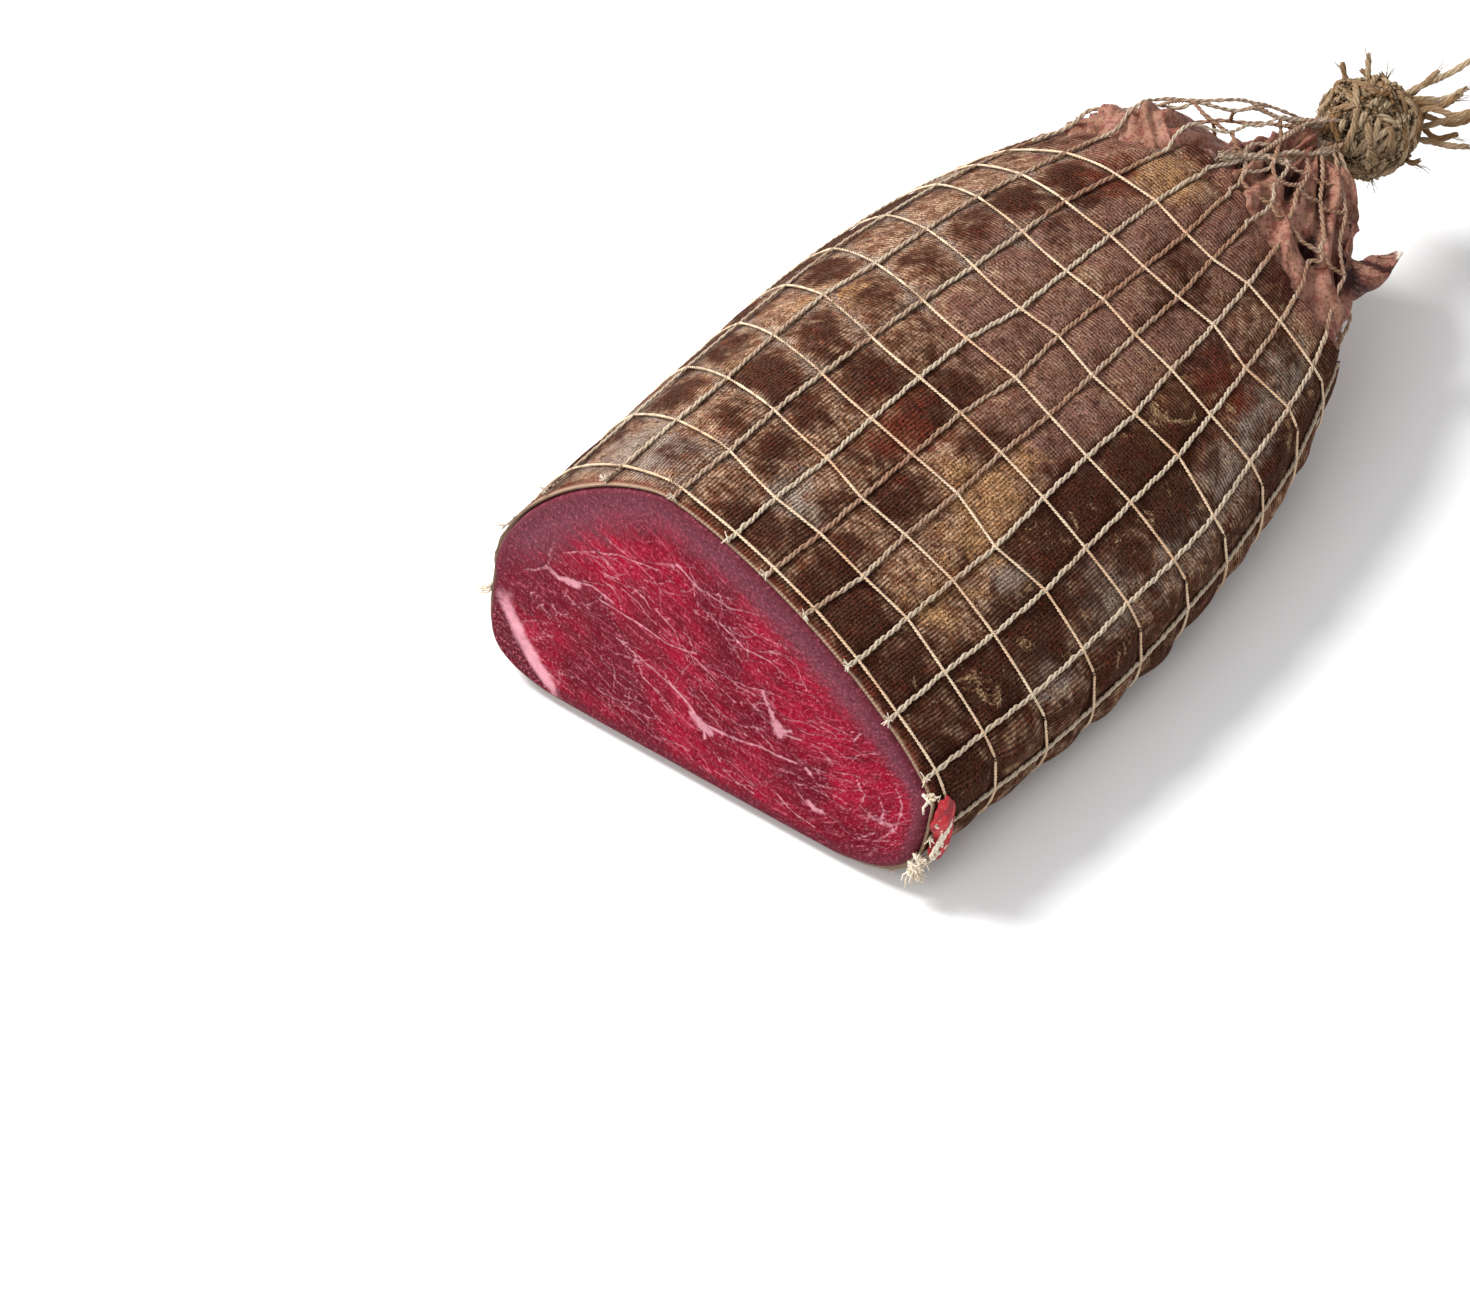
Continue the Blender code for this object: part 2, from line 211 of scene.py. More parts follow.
# The view, from the photograph
VIEW_AZIMUTH = math.radians(40.76)
VIEW_ELEVATION = math.radians(46.2)
VIEW_DISTANCE = 1.4
VIEW_TARGET = Vector((-0.0052, 0.0171, 0.0303)) + Vector(SHIFT)
LENS = 120.0
SENSOR = 36.0


def tone(red, green, blue):
    """Linear colour of an sRGB colour given in 0 to 255."""
    parts = np.array([red, green, blue]) / 255
    linear = np.where(parts <= 0.04045, parts / 12.92, ((parts + 0.055) / 1.055) ** 2.4)
    return tuple(float(part) for part in linear)


# Colours
MID_BROWN = tone(118, 79, 56)
PALE_BROWN = tone(182, 148, 120)
DARK_BROWN = tone(52, 24, 14)
MAUVE = tone(126, 90, 80)
OCHRE = tone(180, 136, 92)
MOULD = tone(148, 134, 122)
PINK = tone(134, 92, 78)
RED_BROWN = tone(96, 42, 29)
RAW_RED = tone(112, 54, 40)
HEM_PALE = tone(206, 176, 148)
CRUST = tone(150, 120, 90)
CRIMSON = tone(152, 2, 40)
DEEP_CRIMSON = tone(100, 2, 24)
DARK_CRIMSON = tone(84, 4, 22)
PALE_FIBRE = tone(208, 112, 132)
RIM_MAUVE = tone(108, 58, 70)
RIM_MAROON = tone(96, 14, 30)
RIM_DARK = tone(84, 34, 44)
RIM_PURPLE = tone(76, 18, 26)
LIP_RED = tone(196, 34, 44)
LIP_DARK = tone(136, 14, 28)
STREAK_PINK = tone(222, 156, 168)
FAT = tone(222, 158, 170)
SKIN_PINK = tone(164, 114, 98)
SKIN_BEIGE = tone(150, 110, 88)
SKIN_RED = tone(116, 52, 40)
SKIN_DARK = tone(48, 16, 12)
# Colour of the painted highlight on the flap's lip
FLAP_HIGHLIGHT = tone(206, 192, 180)
# Multiplier for painted shade and dirt on the gauze right beside the threads
SHADE_AND_DIRT_BY_THREADS = (0.45, 0.34, 0.28)
CORD_PALE = tone(214, 198, 174)
CORD_TAN = tone(166, 128, 104)
HOOP_PALE = tone(250, 226, 194)
HOOP_TAN = tone(228, 184, 146)
# Dark thread colours, used both for dirt specks and for the painted shade where strands meet
HOOP_DIRT_AND_SHADE = tone(136, 92, 66)
THREAD_DIRT_AND_SHADE = tone(92, 60, 44)
TWINE_PALE = tone(204, 180, 148)
TWINE_KHAKI = tone(144, 110, 76)
LOOSE_PALE = tone(242, 230, 210)
LOOSE_TAN = tone(208, 184, 152)
# Used both for dirt specks and for the painted shade where the twine's strands meet
TWINE_DIRT_AND_SHADE = tone(78, 56, 38)


# Where the gauze is stained, in millimetres: round the body, along it, and how far the stain reaches
STAINS = {
    "mauve": (
        (93, 192, 24), (93, 130, 20), (48, 168, 28), (58, 117, 24), (64, 216, 22), (110, 160, 18),
        (75, 150, 22),
    ),
    "ochre": (
        (56, 79, 13), (49, 67, 12), (101, 219, 12), (38, 157, 13), (36, 144, 10), (44, 44, 10),
        (58, 96, 10), (136, 110, 10), (138, 65, 9),
    ),
    "mould": (
        (12, 91, 14), (1, 127, 20), (3, 59, 14), (11, 174, 16), (12, 195, 14), (33, 65, 9),
        (130, 18, 14), (141, 24, 14), (90, 33, 8), (6, 150, 14), (-10, 100, 14), (-10, 185, 12),
    ),
    "dark": (
        (28, 130, 17), (34, 100, 14), (96, 16, 12), (89, 93, 12), (66, 179, 12), (71, 194, 10),
        (105, 85, 10), (5, 12, 12), (31, 12, 14), (23, 65, 12), (130, 66, 8), (128, 175, 10),
        (60, 20, 14), (78, 30, 12), (75, 55, 10), (18, 35, 13), (20, 105, 11), (24, 150, 12),
        (86, 62, 11), (105, 40, 10), (70, 95, 8), (112, 60, 8), (122, 45, 7), (118, 190, 10),
    ),
    "red": (
        (87, 78, 10), (87, 72, 8), (30, 172, 10), (115, 205, 7),
    ),
    "pink": (
        (130, 222, 13), (118, 228, 10), (142, 215, 10), (128, 205, 6),
    ),
}


def outline(angle):
    """The cut outline at the given angles, before the body widens and closes."""
    cosine = np.cos(angle)
    sine = np.sin(angle)
    power = np.where(cosine > 0, CROWN_POWER, LEFT_CROWN_POWER)
    power = np.where(sine >= 0, power, BASE_POWER)
    across = np.sign(cosine) * np.abs(cosine) ** (2 / power)
    up = np.sign(sine) * np.abs(sine) ** (2 / power)
    x = HALF_WIDTH * across - CROWN_TO_LEFT * np.clip(up, 0, None)
    z = WIDEST_HEIGHT + up * np.where(up >= 0, CUT_HEIGHT - WIDEST_HEIGHT, WIDEST_HEIGHT)
    return x, z


TURN = np.linspace(0.0, 2 * math.pi, 16001)
OUTLINE = np.stack(outline(TURN), -1)
WALKED = np.concatenate([[0.0], np.cumsum(np.linalg.norm(np.diff(OUTLINE, axis=0), axis=1))])
GIRTH = WALKED[-1]


def surface(walk, along):
    """Points of the smooth sleeve, walk metres round from the right side and along metres back."""
    angle = np.interp(np.mod(walk, GIRTH), WALKED, TURN)
    x, z = outline(angle)
    shoulder = SHOULDER - SHOULDER_RIGHT * np.cos(angle) - SHOULDER_TOP * np.sin(angle)
    past = np.clip((along - shoulder) / (LENGTH - shoulder), 0, 0.9999)
    closing = (1 - past**END_POWER) ** (1 / END_POWER)
    lean = math.tan(CUT_LEAN) * (z - CUT_HEIGHT / 2) + math.tan(CUT_SLANT) * x
    y = along + lean * np.exp(-along / LEAN_REACH)
    x = x * closing * (1 + WIDENING * along)
    z = np.maximum(END_HEIGHT + closing * (z - END_HEIGHT), FLAT_BASE) + LIFT
    return np.stack([x, y, z], -1) + SHIFT


def outward(walk, along):
    step = 0.0005
    around = surface(walk + step, along) - surface(walk - step, along)
    back = surface(walk, along + step) - surface(walk, along - step)
    return unit(np.cross(back, around))


def cord_walk(cord):
    crowd = CROWDING * np.exp(-(((cord % CORDS) - CROWDED_CORD) / CROWDING_SPREAD) ** 2)
    return FIRST_CORD + GIRTH * cord / CORDS - crowd


def waves(seed, *places):
    """A smooth repeatable wobble between about -1 and 1, from a few sines of the given places."""
    draw = random.Random(seed)
    total = 0.0
    for octave in (1.0, 1.9, 3.1):
        inside = draw.uniform(0, 6.28)
        for place in places:
            inside = inside + place * draw.uniform(0.7, 1.3) * octave
        total = total + np.sin(inside) / octave
    return total / 1.9


def fade(low, high, values):
    """0 below low, 1 above high, and a smooth step between."""
    part = np.clip((values - low) / (high - low), 0.0, 1.0)
    return part * part * (3 - 2 * part)


def band(start, full, ebb, end, values):
    """1 between full and ebb, 0 before start and past end, and smooth steps between."""
    return fade(start, full, values) * (1 - fade(ebb, end, values))


def hump(cord, reach, place):
    """1 at a place given as (cord, reach, width in cords, width in reach), and 0 well away from it."""
    at_cord, at_reach, wide, deep = place
    away = (cord - at_cord + CORDS / 2) % CORDS - CORDS / 2
    return np.exp(-((away / wide) ** 2) - ((reach - at_reach) / deep) ** 2)


# Small irregularities of the crossings, round the body and along it, and how far each opening puffs
DRAW = np.random.default_rng(11)
CROSSING_WALK = DRAW.normal(0.0, 0.0007, (CORDS, HOOPS + 3))
CROSSING_ALONG = DRAW.normal(0.0, 0.0008, (CORDS, HOOPS + 3))
CELL_PUFF = DRAW.uniform(0.55, 1.25, (CORDS, HOOPS + 3))
CELL_TONE = DRAW.uniform(-1.0, 1.0, (CORDS, HOOPS + 3))


def pulled_back(walk, row):
    """How far the hoops slant back where they pass over the left of the crown and down that side."""
    grown = 0.6 + 0.4 * fade(0.0, 2.0, row)
    return PULL_BACK * band(0.100, 0.175, 0.24, 0.31, walk) * grown * band(-0.25, 0.1, 7.0, 9.4, row)


def net_place(cord, row):
    """Distances round and along the body at a cord number and hoop number, whole or between."""
    low = np.floor(cord).astype(int)
    part = cord - low
    under = np.clip(np.floor(row).astype(int), -1, HOOPS)
    rest = np.clip(row - under, 0.0, 1.0)

    def on_line(table, line):
        return table[line % CORDS, under + 1] * (1 - rest) + table[line % CORDS, under + 2] * rest

    def between(table):
        return on_line(table, low) * (1 - part) + on_line(table, low + 1) * part

    walk = cord_walk(low) * (1 - part) + cord_walk(low + 1) * part + between(CROSSING_WALK)
    along = FIRST_HOOP + HOOP_PITCH * row + between(CROSSING_ALONG) * fade(-0.25, 0.3, row)
    return walk, along + pulled_back(np.mod(walk, GIRTH), row)


def arch(part):
    return np.clip(np.sin(math.pi * part), 0.0, 1.0) ** 0.75


def sleeve_point(cord, row, out=0.0, puffed=True):
    """Points of the gauze: drawn straight along the threads, puffed up between them."""
    cord, row = np.broadcast_arrays(np.asarray(cord, float), np.asarray(row, float))
    low = np.floor(cord)
    under = np.floor(row)
    part = (cord - low)[..., None]
    rest = (row - under)[..., None]

    def on_line(line):
        return surface(*net_place(low, line)) * (1 - part) + surface(*net_place(low + 1, line)) * part

    flat = on_line(under) * (1 - rest) + on_line(under + 1) * rest
    walk, along = net_place(cord, row)
    normal = outward(walk, along)
    rise = surface(walk, along) - flat
    height = np.linalg.norm(rise, axis=-1, keepdims=True)
    edge = 1 - fade(-0.2, 0.15, row)[..., None]
    rise = rise * np.maximum(np.minimum(1.0, MOST_RISE / np.maximum(height, 1e-9)), edge)
    point = flat + rise * (THREAD_SHARE + (1 - THREAD_SHARE) * np.maximum(arch(rest), edge))
    if puffed:
        table = CELL_PUFF[low.astype(int) % CORDS, np.clip(under.astype(int), -1, HOOPS) + 1]
        swell = PUFF * table * arch(part[..., 0]) * arch(rest[..., 0]) * fade(-0.02, 0.1, row)
        swell = swell * (1 - 0.75 * band(0.105, 0.15, 0.22, 0.26, walk))
        swell = swell + LUMP * waves(3, walk * 190, along * 170) * (1 - edge[..., 0])
        point = point + normal * swell[..., None]
    return point + normal * np.asarray(out)[..., None]


def nearest(points, targets, batch=4000):
    """Distance from each point to the nearest target."""
    found = []
    for start in range(0, len(points), batch):
        gaps = points[start:start + batch, None, :] - targets[None]
        found.append(np.sqrt((gaps**2).sum(-1)).min(1))
    return np.concatenate(found)


def build(name, points, faces, finish, values=None, places=None):
    """A mesh piece with numbers on its points, and a flat map in metres for each name in places."""
    mesh = bpy.data.meshes.new(name)
    mesh.from_pydata(np.asarray(points).reshape(-1, 3).tolist(), [], faces)
    mesh.validate()
    corners = np.empty(len(mesh.loops), int)
    mesh.loops.foreach_get("vertex_index", corners)
    for field, numbers in (values or {}).items():
        data = mesh.attributes.new(field, "FLOAT", "POINT").data
        data.foreach_set("value", np.asarray(numbers, np.float32).ravel())
    for field, flat in (places or {}).items():
        data = mesh.uv_layers.new(name=field).data
        data.foreach_set("uv", np.asarray(flat, np.float32).reshape(-1, 2)[corners].ravel())
    mesh.shade_smooth()
    mesh.materials.append(finish)
    piece = bpy.data.objects.new(name, mesh)
    bpy.context.scene.collection.objects.link(piece)
    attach(piece, "root")
    return piece


def grid_faces(rows, columns):
    """Quads of a grid with the given numbers of points, facing out when columns run round and rows back."""
    index = np.arange(rows * columns).reshape(rows, columns)
    quads = [index[:-1, :-1], index[1:, :-1], index[1:, 1:], index[:-1, 1:]]
    return np.stack(quads, -1).reshape(-1, 4).tolist()


def measure(path):
    """Distance along a path at each of its points."""
    steps = np.linalg.norm(np.diff(path, axis=0), axis=1)
    return np.concatenate([[0.0], np.cumsum(steps)])


def resample(path, spacing):
    """A smooth path through the given points, with its points evenly spaced."""
    path = np.asarray(path, float)
    ends = np.concatenate([[2 * path[0] - path[1]], path, [2 * path[-1] - path[-2]]])
    part = np.linspace(0, 1, 13)[:-1, None]
    pieces = []
    for index in range(len(path) - 1):
        a, b, c, d = ends[index:index + 4]
        cubic = b + 0.5 * part * (c - a + part * (2 * a - 5 * b + 4 * c - d + part * (3 * (b - c) + d - a)))
        pieces.append(cubic)
    dense = np.concatenate(pieces + [path[-1:]])
    walked = measure(dense)
    count = max(int(walked[-1] / spacing), 3)
    at = np.linspace(0, walked[-1], count)
    return np.stack([np.interp(at, walked, dense[:, axis]) for axis in range(3)], -1)


def carried_up(path):
    """A direction across the path, carried along it without turning."""
    tangent = unit(np.gradient(path, axis=0))
    start = np.array([0.31, -0.2, 0.93])
    ups = []
    for step in tangent:
        start = start - step * start.dot(step)
        start = start / np.linalg.norm(start)
        ups.append(start)
    return np.array(ups)


class Strands:
    """Tubes that become one mesh. Their points carry numbers for the material to read."""

    def __init__(self):
        self.points = []
        self.faces = []
        self.shade = []
        self.tone = []
        self.count = 0

    def tube(self, path, spoke, radius, sides, tone, hollow=0.0):
        """A tube whose first side faces the spoke; hollow darkens the side that faces away from it."""
        tangent = unit(np.gradient(path, axis=0))
        spoke = unit(spoke - tangent * (spoke * tangent).sum(-1, keepdims=True))
        other = np.cross(tangent, spoke)
        turn = (2 * math.pi * np.arange(sides) / sides)[None, :, None]
        ring = spoke[:, None] * np.cos(turn) + other[:, None] * np.sin(turn)
        radius = np.broadcast_to(radius, len(path))[:, None, None]
        rings = path[:, None] + ring * radius
        rows = len(path)
        index = self.count + np.arange(rows * sides).reshape(rows, sides)
        after = np.roll(index, -1, axis=1)
        quads = np.stack([index[:-1], after[:-1], after[1:], index[1:]], -1).reshape(-1, 4)
        self.points.append(rings.reshape(-1, 3))
        self.faces += quads.tolist()
        self.faces += [index[0][::-1].tolist(), index[-1].tolist()]
        # Painted shade: with hollow, the side of each strand that faces away from the spoke, into the
        # thread's core, is darker
        facing = np.broadcast_to(1 - hollow * (1 - np.cos(turn[..., 0])) / 2, (rows, sides))
        self.shade.append(facing.ravel())
        self.tone.append(np.broadcast_to(np.asarray(tone).reshape(-1, 1), (rows, sides)).ravel())
        self.count += rows * sides

    def plied(self, path, up, ply, pitch, tone, sides=6, plies=2, phase=0.0, apart=0.85, ends=1.0):
        """Twisted strands of the given radius wound round a path, thinner at the ends if asked."""
        tangent = unit(np.gradient(path, axis=0))
        up = unit(up - tangent * (up * tangent).sum(-1, keepdims=True))
        side = np.cross(tangent, up)
        walked = measure(path)
        taper = np.interp(walked, [0.0, 0.002, walked[-1] - 0.002, walked[-1]], [ends, 1.0, 1.0, ends])
        seed = int(pitch * 1e7) + len(path)
        taper = taper * (1 + THREAD_UNEVEN * waves(seed, walked * 900))
        slip = 0.18 * waves(seed + 1, walked * 260)
        for index in range(plies):
            turn = (phase + 2 * math.pi * (walked / pitch + slip + index / plies))[:, None]
            spoke = side * np.cos(turn) + up * np.sin(turn)
            level = side * np.cos(turn) + up * np.sin(turn) * THREAD_FLAT
            self.tube(path + level * ply * apart, spoke, ply * taper, sides, tone, hollow=1.0)

    def loose(self, points, spacing, ply, pitch, tone, *shape, **more):
        """A twisted thread through the given points, off the surface; gives back its route."""
        route = resample(points, spacing)
        self.plied(route, carried_up(route), ply, pitch, tone, *shape, **more)
        return route

    def hair(self, path, radius, sides, tone):
        """A short plain thread, half as thick at its end."""
        path = np.array(path)
        self.tube(path, carried_up(path), radius * np.linspace(1.0, 0.5, len(path)), sides, tone)

    def piece(self, name, finish):
        values = {"shade": np.concatenate(self.shade), "tone": np.concatenate(self.tone)}
        return build(name, np.concatenate(self.points), self.faces, finish, values)


# Materials

class Finish:
    """A material painted in layers; its nodes are added one call at a time."""

    def __init__(self, name, roughness, specular=0.5):
        self.material = bpy.data.materials.new(name)
        self.material.use_nodes = True
        self.tree = self.material.node_tree
        self.shader = self.tree.nodes["Principled BSDF"]
        self.colour = None
        self.feed(self.shader.inputs["Roughness"], roughness)
        self.feed(self.shader.inputs["Specular IOR Level"], specular)

    def feed(self, socket, value):
        if isinstance(value, bpy.types.NodeSocket):
            self.tree.links.new(value, socket)
        elif value is not None:
            socket.default_value = value

    def node(self, kind, settings=None, **inputs):
        node = self.tree.nodes.new("ShaderNode" + kind)
        for name, value in (settings or {}).items():
            setattr(node, name, value)
        for name, value in inputs.items():
            self.feed(node.inputs[name.replace("_", " ")], value)
        return node

    def number(self, field):
        return self.node("Attribute", {"attribute_name": field}).outputs["Fac"]

    def flat(self, name):
        return self.node("UVMap", {"uv_map": name}).outputs["UV"]

    def position(self):
        return self.node("TexCoord").outputs["Object"]

    def stretch(self, vector, scale, turn=(0.0, 0.0, 0.0)):
        return self.node("Mapping", Vector=vector, Scale=scale, Rotation=turn).outputs["Vector"]

    def noise(self, vector, scale, detail=3.0, rough=0.55, distort=0.0):
        made = self.node("TexNoise", Vector=vector, Scale=scale, Detail=detail, Roughness=rough)
        self.feed(made.inputs["Distortion"], distort)
        return made.outputs["Fac"]

    def math(self, operation, first, second=None, third=None):
        node = self.tree.nodes.new("ShaderNodeMath")
        node.operation = operation
        for socket, value in zip(node.inputs, (first, second, third)):
            self.feed(socket, value)
        return node.outputs[0]

    def times(self, first, second, more=None):
        """The product, plus more if it is given."""
        return self.math("MULTIPLY" if more is None else "MULTIPLY_ADD", first, second, more)

    def ramp(self, value, low, high, bottom=0.0, top=1.0):
        """Smooth change from bottom to top as the value goes from low to high."""
        node = self.tree.nodes.new("ShaderNodeMapRange")
        node.interpolation_type = "SMOOTHSTEP"
        for socket, number in zip(node.inputs[:5], (value, low, high, bottom, top)):
            self.feed(socket, number)
        return node.outputs["Result"]

    def mix(self, share, first, second, blend="MIX"):
        node = self.tree.nodes.new("ShaderNodeMix")
        node.data_type = "RGBA"
        node.blend_type = blend
        self.feed(node.inputs[0], share)
        for socket, colour in zip(node.inputs[6:8], (first, second)):
            self.feed(socket, (*colour, 1.0) if isinstance(colour, tuple) else colour)
        return node.outputs[2]

    def over(self, colour, source, low, high, coat, most=1.0):
        """The colour with a coat over it, by up to most, where the source goes from low to high."""
        return self.mix(self.ramp(source, low, high, 0.0, most), colour, coat)

    def coat(self, share, colour, blend="MIX"):
        """A coat over what is painted so far, by the given share."""
        self.colour = self.mix(share, self.colour, colour, blend)

    def layer(self, source, low, high, coat, most=1.0):
        """A coat over what is painted so far, where the source goes from low to high."""
        self.colour = self.over(self.colour, source, low, high, coat, most)

    def bump(self, height, distance, strength=1.0, under=None):
        node = self.node("Bump", Height=height, Distance=distance, Strength=strength)
        self.feed(node.inputs["Normal"], under)
        return node.outputs["Normal"]

    def paint(self, roughness=None, normal=None):
        self.feed(self.shader.inputs["Base Color"], self.colour)
        self.feed(self.shader.inputs["Roughness"], roughness)
        self.feed(self.shader.inputs["Normal"], normal)
        return self.material


# Stains of the gauze: the number that each follows, its colour, its noise, its strength and its soft edge
GAUZE_LAYERS = (
    ("mauve", MAUVE, 0.3, 0.8, 0.10, 0.50),
    ("pink", PINK, 1.1, 0.95, 0.10, 0.40),
    ("ochre", OCHRE, 0.7, 0.8, 0.16, 0.66),
    ("mould", MOULD, 1.9, 0.9, 0.12, 0.60),
    ("dark", DARK_BROWN, 2.3, 0.93, 0.02, 0.50),
    ("red", RED_BROWN, 3.1, 0.85, 0.12, 0.45),
)


def gauze_finish():
    """Knitted gauze with fine ribs, stained by mould and by the meat behind it."""
    gauze = Finish("gauze", 0.9, 0.06)
    cloth = gauze.flat("cloth")
    broad = gauze.noise(cloth, 70.0, 4.0)
    mottle = gauze.noise(cloth, 230.0, 7.0, 0.72)
    patchy = gauze.noise(cloth, 420.0, 6.0, 0.75)
    fine = gauze.noise(cloth, 1300.0, 4.0, 0.8)
    split = gauze.node("SeparateXYZ", Vector=cloth).outputs
    wander = gauze.times(gauze.noise(cloth, 90.0, 2.0), 9.0)
    per_rib = 2 * math.pi / RIB_PITCH
    wales, courses = (gauze.math("SINE", gauze.times(split[axis], per_rib, wander)) for axis in "XY")
    turned = gauze.ramp(gauze.times(broad, 0.09, split["Y"]), 0.10, 0.20)
    ribs = gauze.times(courses, turned, gauze.times(wales, gauze.math("SUBTRACT", 1.0, turned)))
    shown = gauze.times(ribs, gauze.ramp(patchy, 0.62, 0.40, 0.3, 1.0))
    grit = gauze.times(shown, -0.09, gauze.ramp(fine, 0.36, 0.64, -0.2, 0.2))
    gauze.colour = gauze.mix(gauze.ramp(gauze.times(grit, 0.25, mottle), 0.42, 0.60), MID_BROWN, PALE_BROWN)
    for field, colour, seed, most, low, high in GAUZE_LAYERS:
        moved = gauze.node("VectorMath", {"operation": "ADD"})
        gauze.feed(moved.inputs[0], cloth)
        gauze.feed(moved.inputs[1], (seed, seed * 0.7, 0.0))
        cloudy = gauze.noise(moved.outputs[0], 150.0, 8.0, 0.75)
        cloudy = gauze.times(cloudy, 2.0, gauze.math("ADD", grit, -1.0))
        stained = gauze.times(gauze.number(field), 0.55, cloudy)
        gauze.layer(stained, low, high, colour, most)
    gauze.coat(gauze.times(gauze.number("raw"), gauze.ramp(mottle, 0.35, 0.55)), RAW_RED)
    gauze.layer(patchy, 0.50, 0.66, DARK_BROWN, 0.85)
    rusty = gauze.ramp(gauze.noise(cloth, 120.0, 7.0, 0.75), 0.50, 0.62, 0.0, 0.22)
    gauze.coat(gauze.times(rusty, gauze.ramp(fine, 0.35, 0.6, 0.3, 1.0)), RED_BROWN)
    crust = gauze.times(gauze.number("flank"), gauze.ramp(gauze.number("dark"), 0.2, 0.7))
    crust = gauze.times(crust, gauze.ramp(gauze.noise(cloth, 85.0, 8.0, 0.7, 1.2), 0.57, 0.63))
    gauze.coat(gauze.times(crust, gauze.ramp(fine, 0.3, 0.6, 0.25, 0.9)), CRUST)
    grain = gauze.times(shown, 0.46, gauze.ramp(fine, 0.36, 0.64, 0.22, 1.78))
    gauze.coat(1.0, gauze.node("CombineXYZ", X=grain, Y=grain, Z=grain).outputs[0], "MULTIPLY")
    gauze.coat(gauze.times(gauze.number("hem"), 0.85), HEM_PALE)
    # Painted shade and dirt on the gauze beside the threads
    gauze.coat(gauze.number("press"), gauze.mix(1.0, gauze.colour, SHADE_AND_DIRT_BY_THREADS, "MULTIPLY"))
    normal = gauze.bump(gauze.times(fine, 1.2, gauze.times(shown, 0.7)), 0.0003, 0.9)
    normal = gauze.bump(gauze.noise(gauze.position(), 150.0, 3.0), 0.0014, 0.6, normal)
    return gauze.paint(None, normal)


def beef_finish():
    """The cut face: crimson muscle with pale fibres and fat, drying to mauve under the rim."""
    beef = Finish("beef", 0.55, 0.06)
    grain = beef.flat("grain")
    fibres = beef.noise(beef.stretch(grain, (90.0, 380.0, 1.0)), 1.0, 6.0, 0.7, 0.6)
    threads = beef.noise(beef.stretch(grain, (150.0, 1000.0, 1.0)), 1.0, 5.0, 0.7, 0.7)
    patchy = beef.noise(grain, 420.0, 5.0, 0.7)
    speck = beef.noise(grain, 1050.0, 5.0, 0.85)
    beef.colour = beef.mix(beef.ramp(beef.noise(grain, 28.0, 3.0), 0.38, 0.60), CRIMSON, DEEP_CRIMSON)
    beef.layer(beef.noise(grain, 110.0, 4.0, 0.6), 0.48, 0.66, DARK_CRIMSON, 0.4)
    beef.layer(fibres, 0.47, 0.66, DARK_CRIMSON, 0.6)
    thin = beef.times(beef.ramp(threads, 0.55, 0.64), beef.ramp(fibres, 0.60, 0.42))
    beef.coat(beef.times(thin, 0.6), PALE_FIBRE)
    bright = beef.times(beef.ramp(speck, 0.515, 0.61), beef.ramp(patchy, 0.38, 0.58, 0.08, 0.58))
    beef.coat(bright, PALE_FIBRE)
    beef.layer(speck, 0.49, 0.40, DARK_CRIMSON, 0.7)

    ragged = beef.times(patchy, 0.9, beef.times(fibres, 0.9, -0.9))
    low = beef.math("ADD", beef.number("base"), ragged)
    beef.layer(low, 0.2, 0.9, RIM_MAROON, 0.85)
    dried = beef.mix(beef.number("under"), RIM_MAUVE, RIM_MAROON)
    dried = beef.over(dried, patchy, 0.44, 0.66, RIM_DARK, 0.8)
    dried = beef.over(dried, beef.number("rim"), 0.84, 1.02, RIM_DARK, 0.5)
    dried = beef.over(dried, speck, 0.51, 0.62, PALE_FIBRE, 0.40)
    dried = beef.over(dried, speck, 0.49, 0.40, RIM_DARK, 0.50)
    rim = beef.math("ADD", beef.number("rim"), ragged)
    beef.layer(rim, 0.0, 0.95, dried, 0.94)
    scales = beef.mix(beef.ramp(patchy, 0.44, 0.58), RIM_PURPLE, DARK_CRIMSON)
    scales = beef.over(scales, speck, 0.51, 0.60, PALE_FIBRE, 0.6)
    beef.coat(beef.number("outer"), scales)

    cloudy = beef.times(beef.noise(grain, 200.0, 6.0, 0.7), 1.6, -0.8)
    streak = beef.math("ADD", beef.number("streak"), cloudy)
    beef.layer(streak, 0.1, 1.15, STREAK_PINK, 0.92)
    cloudy = beef.times(beef.noise(grain, 700.0, 5.0, 0.75), 1.9, -0.95)
    vein = beef.math("ADD", beef.number("fat"), cloudy)
    beef.layer(vein, 0.32, 1.05, FAT, 0.75)
    normal = beef.bump(beef.times(speck, 0.6, fibres), 0.0005, 0.7)
    return beef.paint(beef.ramp(speck, 0.3, 0.7, 0.36, 0.6), normal)


